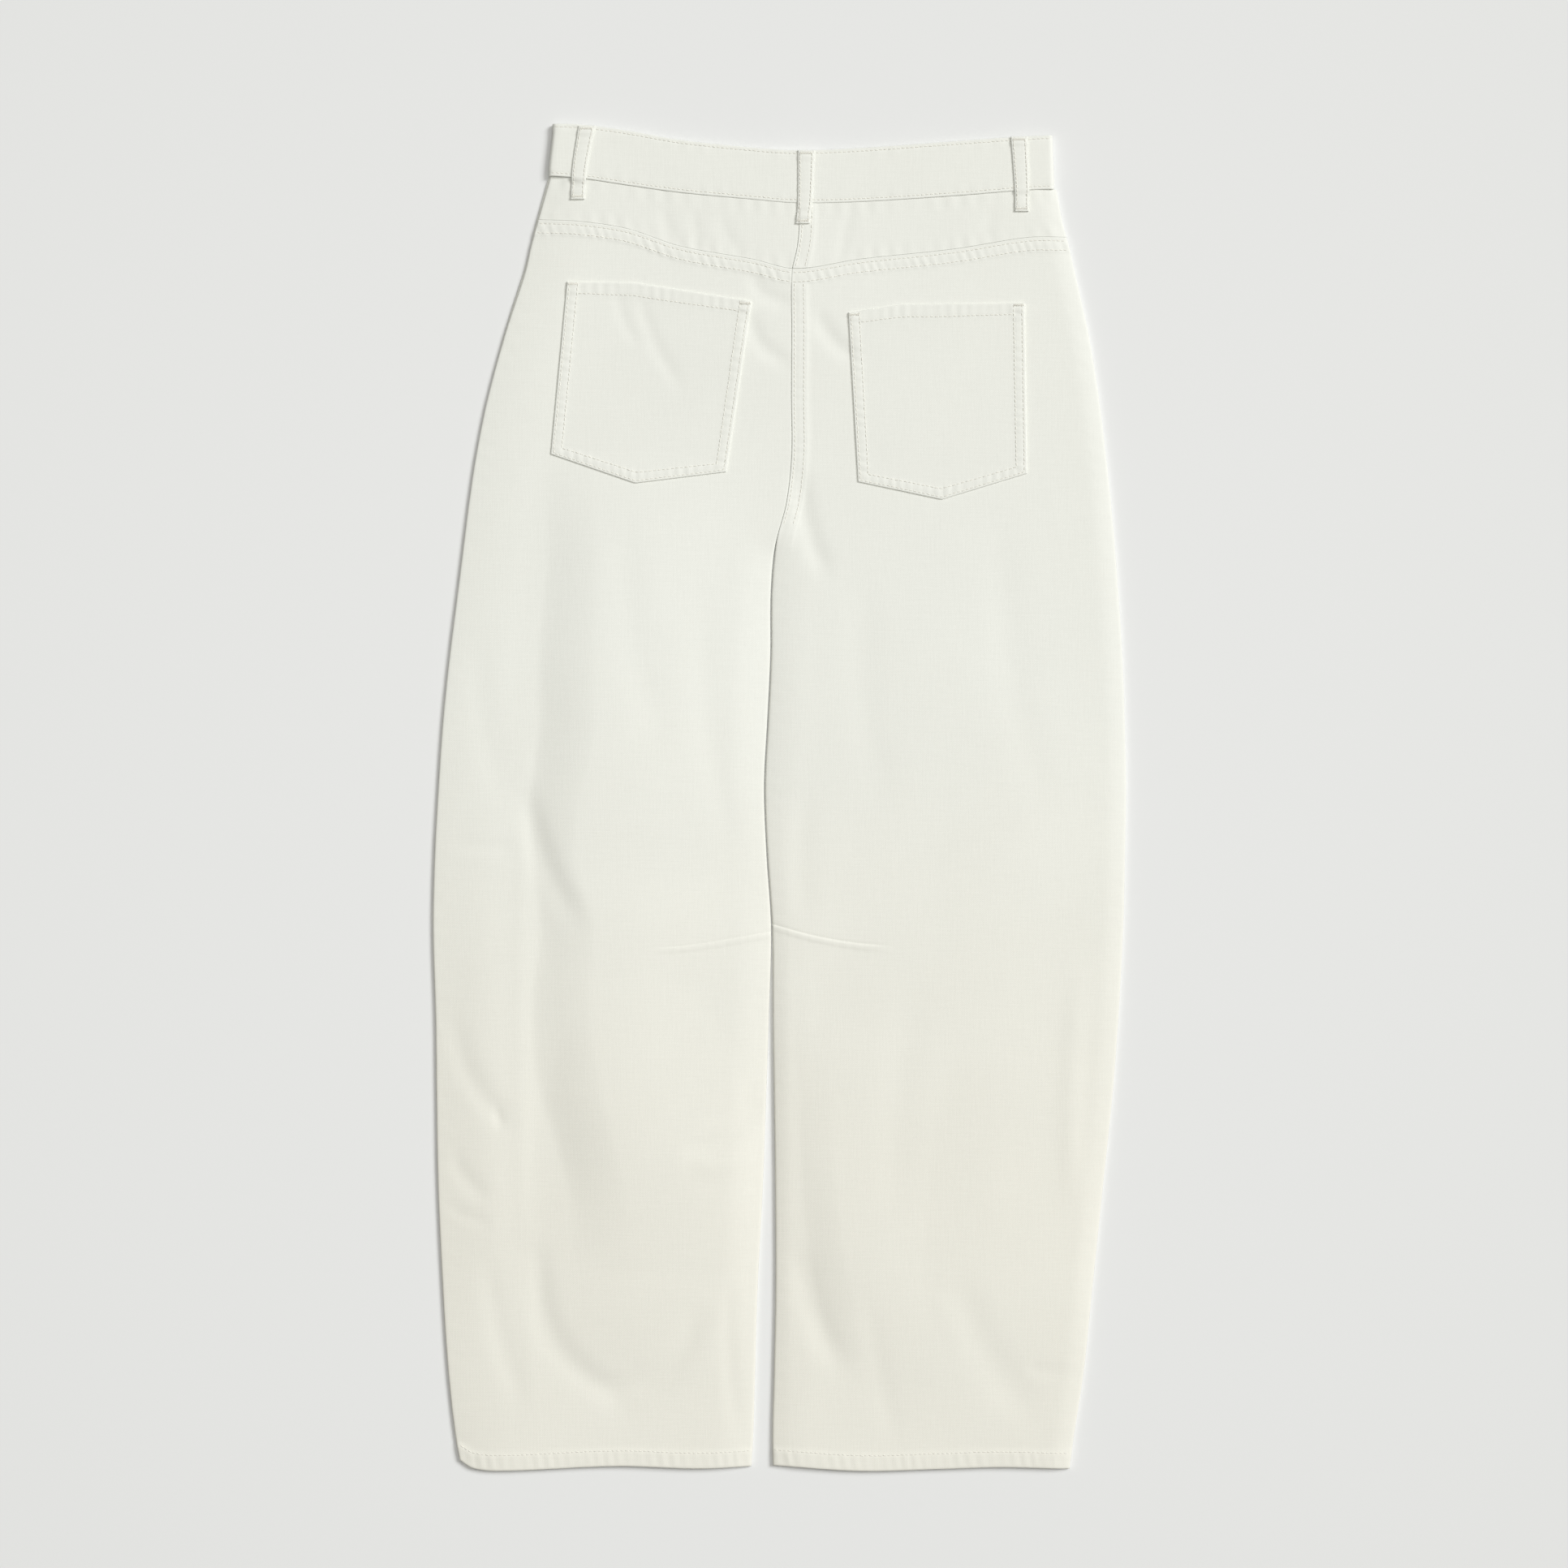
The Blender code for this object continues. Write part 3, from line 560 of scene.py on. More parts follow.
def leg_lines(side):
    """Gives the row lines of a back leg panel, from its hem by its knee dart to its yoke seam."""
    def dart(across):
        return dart_line(side, across)

    def seam(across):
        return waist_line("yoke", across) - SEWN_GAP / 2

    near_hem = HEM_TURN["outer"] + (3.2, 5.0, 7.0, 9.0, 10.6, 11.4, 12.0, 12.8, 13.6, 14.6, 17.0, 20.0)
    near_dart = (-9.0, -6.5, -5.2, -4.4, -3.6, -2.6, -1.4, -0.5, 0.0, 0.4, 0.9, 1.6, 3.0, 5.5, 9.0)
    near_seam = (-20.0, -16.0, -13.6, -12.2, -11.6, -11.0, -10.4, -9.6, -8.0, -6.0, -4.4, -3.6, -3.0, -2.4,
                 -1.4, -0.7, -0.25, 0.0)
    lines = [moved(hem_line, by) for by in near_hem]
    low, high = moved(hem_line, near_hem[-1]), moved(dart, near_dart[0])
    lines += [mixed(low, high, part) for part in spread(0.0, 1.0, ROW_STEP / 365.0)]
    lines += [moved(dart, by) for by in near_dart]
    low, high = moved(dart, near_dart[-1]), moved(seam, near_seam[0])
    seat = (CROTCH - low(WAIST_MIDDLE)) / (high(WAIST_MIDDLE) - low(WAIST_MIDDLE))
    parts = spread(0.0, seat, ROW_STEP / 490.0) + [seat] + spread(seat, 1.0, SEAT_ROW_STEP / 490.0)
    lines += [mixed(low, high, part) for part in parts]
    return lines + [moved(seam, by) for by in near_seam]


def back_leg(side, material):
    """Makes a back leg panel."""
    lines = leg_lines(side)
    last = len(lines) - 1
    turn = [(last - k, drop) for k, drop in enumerate((0.9, 0.3, 0.05))]
    return back_piece(f"back_leg_{side}", side, lines, material, True, turn)


def yoke(side, material):
    """Makes one half of the back yoke."""
    def low(across):
        return waist_line("yoke", across) + SEWN_GAP / 2

    def high(across):
        return waist_line("seam", across) - SEWN_GAP / 2

    near = (0.0, 0.5, 1.2, 2.2, 3.6)
    lines = [moved(low, by) for by in near]
    lines += [mixed(moved(low, near[-1]), moved(high, -near[-1]), part) for part in spread(0.0, 1.0, 0.1)]
    lines += [moved(high, -by) for by in near[::-1]]
    return back_piece(f"yoke_piece_{side}", side, lines, material)


def front_leg(side, material):
    """Makes a front panel, which lies flat on the surface from its hem to the waistband."""
    rim = (0.0, 0.1, 0.35, 0.9)
    way = INWARD[side]
    heights = [*rim, *spread(rim[-1], FRONT_LENGTH, 9.0), *(FRONT_LENGTH - r for r in rim[::-1])]
    parts = [*spread(0.0, 1.0, 0.035)]

    def high(across):
        return waist_line("seam", across) - SEAM_GAP / 2

    across, up = [], []
    for height in heights:
        share = height / FRONT_LENGTH
        guess = np.full(1, height)
        for _ in range(3):
            outer, inner = edges(side, guess.mean())
            outer = outer + way * FRONT_INSET
            inner = inner - way * FRONT_INSET * legs_apart(guess.mean() - CROTCH_BLEND)
            row = np.array([outer + way * r for r in rim] + [outer + (inner - outer) * p for p in parts]
                           + [inner - way * r for r in rim[::-1]])
            guess = hem_line(row) * (1 - share) + high(row) * share
        across.append(row)
        up.append(guess)
    across, up = np.array(across), np.array(up)
    drop = rim_drops(across.shape, (0.5, 0.25, 0.08, 0.0))
    top = in_frame(across, up, CLOTH - drop)
    under = in_frame(across, up, UNDERSIDE + drop * 0.8)
    return wall(f"front_leg_{side}", top, under, material)


def band_path():
    """Gives the waistband's path from its outer front end round the back to its inner front end.

    The columns are the part of the way across, a shift across, a level and the way that faces out.
    """
    half = BAND_CLOTH / 2
    turn = (BAND_BACK_LEVEL - half) / 2
    span = BAND_RIGHT[0] - BAND_LEFT[0] - 2 * (turn + half)
    middle = (WAIST_MIDDLE - BAND_LEFT[0] - turn - half) / span
    overlap, ramp_end, ramp_start = (d / span for d in (BAND_OVERLAP, *UNDERLAP_RAMP))
    step = BAND_STEP / span

    def straight(first, last, height, facing):
        parts = [first, *spread(first, last, step * (1 if last > first else -1)), last]
        return [(part, 0.0, height, 0.0, facing) for part in parts]

    def fold(part, start):
        angles = [start - math.pi * k / 9 for k in range(1, 9)]
        centre = half + turn
        ways = [(math.cos(angle), math.sin(angle)) for angle in angles]
        return [(part, turn * aside, centre + turn * rise, aside, rise) for aside, rise in ways]

    path = straight(middle + overlap, 0.0, half, -1.0) + fold(0.0, -math.pi / 2)
    path += straight(0.0, 1.0, BAND_BACK_LEVEL, 1.0) + fold(1.0, math.pi / 2)
    path += straight(1.0, middle + ramp_start, half, -1.0)
    path += straight(middle + ramp_end, middle - overlap, UNDERLAP_LEVEL, -1.0)
    return np.array(path)


def band_relief(across, from_seam, from_top):
    """Gives what the edges' topstitching does to the waistband's outer face."""
    relief = groove(from_seam, BAND_ROW, 0.18) + groove(from_top, BAND_ROW, 0.18)
    relief = relief + 0.16 * ripple(across, 12.0, 0.2) * between_rows(from_seam, 1.0, 5.0)
    return relief + 0.14 * ripple(across, 14.0, 1.2) * between_rows(from_top, 1.0, 5.0)


def band_row(path, by, mix, turned=0.0):
    """Gives the places of the waistband's outer and inner face along its path.

    The row lies by millimetres up from the band's edge that mix names, 0 the seam and 1 the top.
    """
    part, shift, height, out_across, out_up = path.T
    half = BAND_CLOTH / 2
    reach = half + (BAND_BACK_LEVEL - half) / 2
    left = BAND_LEFT[0] * (1 - mix) + BAND_LEFT[1] * mix + reach
    right = BAND_RIGHT[0] * (1 - mix) + BAND_RIGHT[1] * mix - reach
    across = left + (right - left) * part
    seam, top = waist_line("seam", across) + SEWN_GAP / 2, waist_line("top", across)
    up = seam * (1 - mix) + top * mix + by
    relief = band_relief(across, up - seam, top - up) * ease(-0.6, 0.2, out_up)
    out = half - turned * half + relief
    level = np.maximum(height + out_up * out, UNDERSIDE + turned * 0.5)
    face = in_frame(across + shift + out_across * out, up, level)
    back = half - turned * half * 0.5
    level = np.maximum(height - out_up * back, UNDERSIDE)
    return face, in_frame(across + shift - out_across * back, up, level)


def waistband(material):
    """Makes the waistband, one band folded flat at both sides with its ends lapped at the front."""
    path = band_path()
    near = (0.0, 0.05, 0.25, 0.7, 1.4, 2.0, 2.4, 2.8, 3.4, 4.6, 6.5)
    turn_in = (0.75, 0.45, 0.18, 0.04) + (0.0,) * (len(near) - 4)
    middle = spread(0.0, 1.0, 0.14)
    rows = [(low, 0.0, turned) for low, turned in zip(near, turn_in)]
    rows += [(near[-1] * (1 - 2 * mix), mix, 0.0) for mix in middle]
    rows += [(-high, 1.0, turned) for high, turned in zip(near[::-1], turn_in[::-1])]
    outer, inner = [], []
    for by, mix, turned in rows:
        face, back = band_row(path, by, mix, turned)
        outer.append(face)
        inner.append(back)
    band = wall("waistband_cloth", np.array(outer), np.array(inner), material)

    bpy.ops.object.select_all(action="DESELECT")
    at = in_frame(*BUTTON_AT, 0.0)
    radius, depth = (BUTTON_RADIUS + SEAM_GAP) * MM, 2 * (BAND_CLOTH + SEAM_GAP / 2) * MM
    bpy.ops.mesh.primitive_cylinder_add(vertices=48, radius=radius, depth=depth, location=at)
    hole = bpy.context.object
    only(band)
    cut = band.modifiers.new("button_hole", "BOOLEAN")
    cut.operation = "DIFFERENCE"
    cut.object = hole
    bpy.ops.object.modifier_apply(modifier=cut.name)
    bpy.data.objects.remove(hole, do_unlink=True)
    return band


def pocket_place(side, part_across, part_up):
    """Gives the place across and up on a pocket from the parts of the way along its edges."""
    low_left, point, low_right, top_right, top_middle, top_left = np.array(POCKETS[side])

    def along(first, middle, last, part):
        reach = np.linalg.norm(middle - first), np.linalg.norm(last - middle)
        knots = np.array([0.0, reach[0] / sum(reach), 1.0])
        return np.stack([np.interp(part, knots, (first[k], middle[k], last[k])) for k in (0, 1)])

    low = along(low_left, point, low_right, part_across)
    high = along(top_left, top_middle, top_right, part_across)
    return low * (1 - part_up) + high * part_up


def pocket_size(side):
    """Gives a pocket's width and height, taken along its middle."""
    across, up = pocket_place(side, np.array([0.0, 1.0, 0.5, 0.5]), np.array([0.5, 0.5, 0.0, 1.0]))
    return math.hypot(across[1] - across[0], up[1] - up[0]), up[3] - up[2]


def pocket_level(side, part_across, part_up):
    """Gives the level of a pocket's outer face."""
    across, up = pocket_place(side, part_across, part_up)
    width, height = pocket_size(side)
    from_side = np.minimum(part_across, 1 - part_across) * width
    from_low, from_top = part_up * height, (1 - part_up) * height
    from_sewn = np.minimum(from_side, from_low)
    along = np.where(from_side < from_low, up, across)
    relief = 0.3 * (1 - ease(7.8, 10.2, from_sewn))
    relief = relief + 0.3 * ripple(along, 7.0, 0.6) * between_rows(from_sewn, 2.5, 8.0)
    relief = relief + groove(from_sewn, POCKET_ROWS[0], 0.18) + groove(from_sewn, POCKET_ROWS[1], 0.2)
    hem = 0.35 * (1 - ease(POCKET_HEM - 1.2, POCKET_HEM + 1.4, from_top))
    hem = hem + groove(from_top, POCKET_HEM_ROW, 0.2)
    hem = hem + 0.2 * ripple(across, 8.0, 1.7) * between_rows(from_top, 1.0, POCKET_HEM - 2.0)
    relief = np.maximum(relief, 0.0) + hem
    under = back_level(side, across, up)
    return across, up, under, under + POCKET_CLOTH + relief


def pocket(side, material):
    """Makes a patch pocket on the leg panel's outer face, with its turned edges and folded top hem."""
    near = np.array((0.0, 0.05, 0.3, 0.9, 1.5, 2.0, 2.6, 4.0, 5.8, 7.4, 8.2, 8.9, 9.8, 11.2))
    width, height = pocket_size(side)

    def parts(size):
        first, last = near / size, 1 - near[::-1] / size
        return np.array([*first, *spread(first[-1], last[0], 1.9 / size), *last])

    part_across, part_up = np.meshgrid(parts(width), parts(height))
    across, up, under, level = pocket_level(side, part_across, part_up)
    drop = rim_drops(across.shape, (0.95, 0.55, 0.18, 0.03))
    outer = in_frame(across, up, level - drop)
    inner = in_frame(across, up, under + 0.1)
    return wall(f"patch_pocket_{side}", outer, inner, material)


def yoke_top(across, up):
    """Gives the level of the outer face of the yokes at each place."""
    return np.where(across < seat_seam(up), back_level("left", across, up), back_level("right", across, up))


def loop_level(name, across, up):
    """Gives the level of a belt loop's inner face."""
    seam = waist_line("seam", across)
    band = BAND_BACK_LEVEL + BAND_CLOTH / 2
    on_yoke = 1 - ease(-LOOP_STEP, -SEAM_GAP, up - seam)
    return SEAM_GAP + band * (1 - on_yoke) + (yoke_top(across, up) + 0.1) * on_yoke


def loop_line(name, up):
    """Gives a belt loop's middle and half its width at a height."""
    line = LOOPS[name]
    part = (line["up"][-1] - up) / (line["up"][-1] - line["up"][0])
    half = (LOOP_WIDTH[0] * (1 - part) + LOOP_WIDTH[1] * part) / 2
    return smooth(line["up"], line["across"], up), half


def loop_relief(from_end):
    """Gives what a belt loop's folded ends and its tacks do to its face."""
    folded = 0.4 * (1 - ease(6.0, 8.0, from_end))
    return folded - 0.35 * np.exp(-((from_end - LOOP_TACK) ** 2))


def belt_loop(name, material):
    """Makes a belt loop that lies on the waistband and steps down to its foot on the yoke."""
    foot, top = LOOPS[name]["up"][0], LOOPS[name]["up"][-1]
    tall = top - foot
    near = (0.0, 0.05, 0.25, 0.7, 1.2, 1.8, 2.4, 3.4)
    turn = np.array((0.9, 0.5, 0.22, 0.08, 0.02, 0.0, 0.0, 0.0))
    ups = np.array([*near, *spread(near[-1], tall - near[-1], 1.5), *(tall - np.array(near[::-1]))])
    outer, inner = [], []
    for from_top in ups:
        up = top - from_top
        middle, half = loop_line(name, up)
        offsets = np.array([*(np.array(near) - half), 0.0, *(half - np.array(near[::-1]))])
        across = middle + offsets
        from_side = half - np.abs(offsets)
        from_end = min(from_top, tall - from_top)
        drop = np.maximum(np.interp(from_side, near, turn), np.interp(from_end, near, turn))
        crown = 0.15 * np.cos(offsets / half * math.pi / 2)
        relief = loop_relief(from_end) + crown + groove(from_side, LOOP_ROW, 0.16, 0.6)
        relief = relief + 0.1 * ripple(np.full(1, up), 7.0, half)
        level = loop_level(name, across, np.full(across.shape, up))
        outer.append(in_frame(across, up, level + LOOP_CLOTH - 0.2 + relief - drop))
        inner.append(in_frame(across, up, level))
    return wall(f"loop_of_cloth_{name}", np.array(outer), np.array(inner), material)


def taken(model):
    """Takes the points and faces of a small model, which is then removed."""
    points = np.array([tuple(v.co) for v in model.data.vertices])
    faces = [tuple(face.vertices) for face in model.data.polygons]
    bpy.data.objects.remove(model, do_unlink=True)
    return points, faces


def stitch_shape():
    """Models one stitch, a short thread that lies along X, and gives its points and faces."""
    bpy.ops.object.select_all(action="DESELECT")
    bpy.ops.mesh.primitive_uv_sphere_add(segments=8, ring_count=5, radius=1.0)
    bpy.ops.object.mode_set(mode="EDIT")
    bpy.ops.mesh.select_all(action="SELECT")
    bpy.ops.transform.rotate(value=math.pi / 2, orient_axis="Y", center_override=(0, 0, 0))
    bpy.ops.object.mode_set(mode="OBJECT")
    points, faces = taken(bpy.context.object)
    points[:, 0] = np.sign(points[:, 0]) * np.abs(points[:, 0]) ** 0.6
    return points, faces


def repeated(name, points, faces, middles, alongs, asides, ups, material):
    """Joins many small turned copies of one shape into one piece."""
    count = len(middles)
    turned = points[None, :, 0, None] * alongs[:, None] + points[None, :, 1, None] * asides[:, None]
    turned = turned + points[None, :, 2, None] * ups[:, None] + middles[:, None]
    step = len(points)
    mesh = bpy.data.meshes.new(name)
    mesh.from_pydata(
        turned.reshape(-1, 3), [], [tuple(k * step + v for v in face) for k in range(count) for face in faces]
    )
    piece = bpy.data.objects.new(name, mesh)
    bpy.context.collection.objects.link(piece)
    only(piece)
    bpy.ops.object.shade_smooth()
    mesh.materials.append(material)
    return piece


def even(line, pitch):
    """Gives the ends of the stitches along a line of places, pitch millimetres apart."""
    steps = np.linalg.norm(np.diff(line, axis=0), axis=1)
    far = np.concatenate([[0.0], np.cumsum(steps)])
    count = max(int(far[-1] / (pitch * MM)), 1)
    starts = (np.arange(count) + 0.5) / count * far[-1]
    half = STITCH / 2 * MM
    ends = (starts - half, starts + half)
    return [np.stack([np.interp(end, far, line[:, k]) for k in range(3)], axis=1) for end in ends]


def stitching(name, lines, material, thread=THREAD, pitch=STITCH_PITCH, facing=1.0, sunk=0.02):
    """Makes the rows of stitches of one part; facing is 1 on the side that shows and -1 beneath."""
    points, faces = STITCH_MODEL
    starts, ends = (np.concatenate(group) for group in zip(*(even(line, pitch) for line in lines)))
    loose = np.random.default_rng(len(starts))
    along = ends - starts
    reach = np.linalg.norm(along, axis=1, keepdims=True)
    along = along / reach
    aside = np.cross(np.array([0.0, 0.0, facing]), along)
    aside = aside / np.linalg.norm(aside, axis=1, keepdims=True)
    turn = loose.normal(0.0, STITCH_TURN, (len(starts), 1))
    along, aside = along + aside * turn, aside - along * turn
    over = np.cross(along, aside)
    middles = (starts + ends) / 2 + over * MM * (thread * 0.5 - sunk)
    middles = middles + aside * loose.normal(0.0, STITCH_WANDER, (len(starts), 1)) * MM
    if facing < 0:
        middles[:, 2] = thread * 0.8 * MM
    long = STITCH / 2 * MM * loose.uniform(0.92, 1.08, (len(starts), 1))
    return repeated(
        name, points, faces, middles, along * long, aside * thread * MM, over * thread * 0.8 * MM, material
    )


def on_back(side, across, up):
    return in_frame(across, up, back_level(side, across, up))


def along_panel(side, line, inset=3.0):
    """Gives the places on a back piece where a row of stitches follows a row line."""
    up = line(np.full(1, WAIST_MIDDLE))
    for _ in range(3):
        outer, inner = (edges(side, height)[k] for k, height in ((0, up[0]), (1, up[-1])))
        way = INWARD[side]
        across = np.linspace(outer + way * inset, inner - way * 1.0, 160)
        up = line(across)
    return on_back(side, across, up)


def tack(across, up, level, turn, length=8.0, width=2.6):
    """Gives the zigzag of a bartack, turn degrees round from across."""
    parts = np.linspace(-0.5, 0.5, int(length / 0.55))
    sway = np.where(np.arange(len(parts)) % 2, 0.5, -0.5) * width
    angle = math.radians(turn)
    x = across + parts * length * math.cos(angle) - sway * math.sin(angle)
    y = up + parts * length * math.sin(angle) + sway * math.cos(angle)
    return x, y, level(x, y)


def tacking(name, tacks, material):
    """Makes bartacks, each a row of close threads that lie over one another."""
    points, faces = STITCH_MODEL
    starts, ends = [], []
    for across, up, level, turn, length, width in tacks:
        line = in_frame(*tack(across, up, level, turn, length, width))
        starts.append(line[:-1])
        ends.append(line[1:])
    starts, ends = np.concatenate(starts), np.concatenate(ends)
    along = (ends - starts) / 2 * 1.06
    unit = along / np.linalg.norm(along, axis=1, keepdims=True)
    aside = np.cross(np.array([0.0, 0.0, 1.0]), unit)
    aside = aside / np.linalg.norm(aside, axis=1, keepdims=True)
    over = np.cross(unit, aside)
    middles = (starts + ends) / 2 + over * MM * 0.12
    return repeated(name, points, faces, middles, along, aside * 0.3 * MM, over * 0.3 * MM, material)


def seat_rows(low, high, count):
    """Gives the two rows of stitches of the felled seam between the two sides."""
    up = np.linspace(low, high, count)
    seam = np.array([edges("right", height)[1] for height in up])
    return [on_back("right", seam + inset, up) for inset in SEAT_ROWS]


def leg_stitches(side, material):
    """Sews a back leg panel: its hem, its felled yoke seam, and on the right its felled seat seam."""
    def yoke_row(by):
        return lambda across: waist_line("yoke", across) - by

    lines = [along_panel(side, moved(hem_line, HEM_ROW))]
    lines += [along_panel(side, yoke_row(by), 2.0) for by in FELL_ROWS]
    if side == "right":
        lines += seat_rows(CROTCH + 3.0, waist_line("yoke", WAIST_MIDDLE) - FELL_WIDTH, 120)
    return stitching(f"back_leg_stitches_{side}", lines, material)


def yoke_stitches(material):
    """Sews the felled seam down the middle of the yoke."""
    low, high = waist_line("yoke", WAIST_MIDDLE) + 1.5, waist_line("seam", WAIST_MIDDLE) - 1.5
    return stitching("yoke_stitches", seat_rows(low, high, 30), material)


def band_stitches(material):
    """Sews both edges of the waistband all the way round."""
    path = band_path()
    flat = path[:, 4] > 0.9
    rows = ((BAND_ROW, 0.0), (-BAND_ROW, 1.0))
    top = [band_row(path[flat], by, mix)[0] for by, mix in rows]
    back = stitching("waistband_stitches", top, material, facing=1.0)
    lines = []
    for by, mix in rows:
        for span in (path[: np.argmax(flat)], path[len(flat) - np.argmax(flat[::-1]):]):
            low = span[(np.abs(span[:, 3]) < 0.1) & (span[:, 2] < BAND_CLOTH)]
            lines.append(band_row(low, by, mix)[0])
    return back, stitching("waistband_stitches_beneath", lines, material, facing=-1.0)


def pocket_stitches(side, material):
    """Sews a patch pocket down in two rows, its hem in one, and tacks its top corners."""
    width, height = pocket_size(side)

    def row(parts):
        across, up, _, level = pocket_level(side, *np.array(parts).T)
        return in_frame(across, up, level)

    lines = []
    for inset in POCKET_ROWS:
        x, y = inset / width, inset / height
        walk = [(x, 1 - part * (1 - y)) for part in np.linspace(0.004, 1, 60)]
        walk += [(x + (1 - 2 * x) * part, y) for part in np.linspace(0, 1, 60)]
        walk += [(1 - x, y + part * (1 - y)) for part in np.linspace(0, 0.996, 60)]
        lines.append(row(walk))
    hem = 1 - POCKET_HEM_ROW / height
    lines.append(row([(part, hem) for part in np.linspace(9.0 / width, 1 - 9.0 / width, 60)]))
    sewn = stitching(f"pocket_stitches_{side}", lines, material)

    def level(across, up):
        return back_level(side, across, up) + POCKET_CLOTH + 0.6

    tacks = []
    for corner, way in ((5, 1), (3, -1)):
        across, up = POCKETS[side][corner]
        tacks.append((across + way * 4.4, up - 1.6, level, 0.0, 7.5, 1.9))
    return sewn, tacking(f"pocket_tacks_{side}", tacks, material)


def loop_stitches(name, material):
    """Sews the two long edges of a belt loop and tacks both of its ends."""
    foot, top = LOOPS[name]["up"][0], LOOPS[name]["up"][-1]
    up = np.linspace(top - 1.5, foot + 1.5, 60)
    middle, half = loop_line(name, up)

    def face(across, height):
        from_end = np.minimum(top - height, height - foot)
        return loop_level(name, across, height) + LOOP_CLOTH - 0.2 + loop_relief(from_end) + 0.04

    rows = (middle - half + LOOP_ROW, middle + half - LOOP_ROW)
    lines = [in_frame(across, up, face(across, up)) for across in rows]
    sewn = stitching(f"loop_stitches_{name}", lines, material, pitch=3.0)
    tacks = []
    for height in (top - LOOP_TACK, foot + LOOP_TACK):
        across, _ = loop_line(name, height)
        tacks.append((float(across), height, face, 0.0, LOOP_WIDTH[1] - 1.6, 1.8))
    return sewn, tacking(f"loop_tacks_{name}", tacks, material)


def front_stitches(material):
    """Sews what the front panels show beneath: their hems and the fly's curve."""
    lines = []
    for side in ("left", "right"):
        way = INWARD[side]
        outer, inner = edges(side, HEM_BAND)
        inset = FRONT_INSET + 2.0
        across = np.linspace(outer + way * inset, inner - way * inset, 90)
        lines.append(in_frame(across, hem_line(across) + HEM_ROW, 0.0))
    seat = seat_seam(CROTCH + 140.0)
    for width in (36.0, 42.5):
        turn = (
            (seat - width + 1.0, 955.0), (seat - width, CROTCH + 150.0), (seat - width * 0.86, CROTCH + 118.0),
            (seat - width * 0.5, CROTCH + 97.0), (seat - 1.5, CROTCH + 88.0),
        )
        curve = np.array([smooth(range(5), [spot[k] for spot in turn], np.linspace(0, 4, 90)) for k in (0, 1)])
        lines.append(in_frame(curve[0], curve[1], 0.0))
    return stitching("front_stitches", lines, material, facing=-1.0)


def zip_teeth(material):
    """Makes the closed zip's two interlocked rows of teeth, which lie hidden inside the fly."""
    top = waist_line("seam", WAIST_MIDDLE) - 2
    up = np.arange(top - ZIP_LENGTH + 3.0, top - 3.0, TOOTH_PITCH)
    way = np.where(np.arange(len(up)) % 2, 1.0, -1.0)
    across = seat_seam(up) + way * TOOTH_STAGGER
    bpy.ops.object.select_all(action="DESELECT")
    bpy.ops.mesh.primitive_cube_add(size=2.0)
    tooth = bpy.context.object
    rounded = tooth.modifiers.new("edges", "BEVEL")
    rounded.width = 0.35
    rounded.segments = 2
    bpy.ops.object.modifier_apply(modifier=rounded.name)
    points, faces = taken(tooth)
    middles = in_frame(across, up, ZIP_LEVEL)
    one = np.ones((len(up), 1)) * MM
    axes = [one * np.array(axis) for axis in np.diag(TOOTH_HALF_SIZE)]
    return repeated("zip_teeth", points, faces, middles, *axes, material)


def group_nodes(name, inputs, outputs):
    """Starts a shader node group with its named inputs and outputs."""
    group = bpy.data.node_groups.new(name, "ShaderNodeTree")
    for label, value in inputs.items():
        socket = group.interface.new_socket(name=label, in_out="INPUT", socket_type="NodeSocketFloat")
        socket.default_value = value
    for label in outputs:
        group.interface.new_socket(name=label, in_out="OUTPUT", socket_type="NodeSocketFloat")
    return group, group.nodes.new("NodeGroupInput"), group.nodes.new("NodeGroupOutput")


def maths(tree, kind, *values):
    """Adds a sum; a value is a number or another node's output."""
    node = tree.nodes.new("ShaderNodeMath")
    node.operation = kind
    for socket, value in zip(node.inputs, values):
        if isinstance(value, bpy.types.NodeSocket):
            tree.links.new(value, socket)
        else:
            socket.default_value = value
    return node.outputs[0]


def swing(tree, value, middle, strength):
    """Gives how far a value is from its middle, times a strength."""
    return maths(tree, "MULTIPLY", maths(tree, "SUBTRACT", value, middle), strength)


def clouds(tree, place, scale, detail=3.0, rough=0.55):
    """Adds soft noise of a scale in blots a metre."""
    node = tree.nodes.new("ShaderNodeTexNoise")
    node.inputs["Scale"].default_value = scale
    node.inputs["Detail"].default_value = detail
    node.inputs["Roughness"].default_value = rough
    tree.links.new(place, node.inputs["Vector"])
    return node.outputs["Fac"]


def squeezed(tree, place, scale):
    """Stretches places, so that noise on them runs along the threads."""
    node = tree.nodes.new("ShaderNodeVectorMath")
    node.operation = "MULTIPLY"
    node.inputs[1].default_value = scale
    tree.links.new(place, node.inputs[0])
    return node.outputs[0]


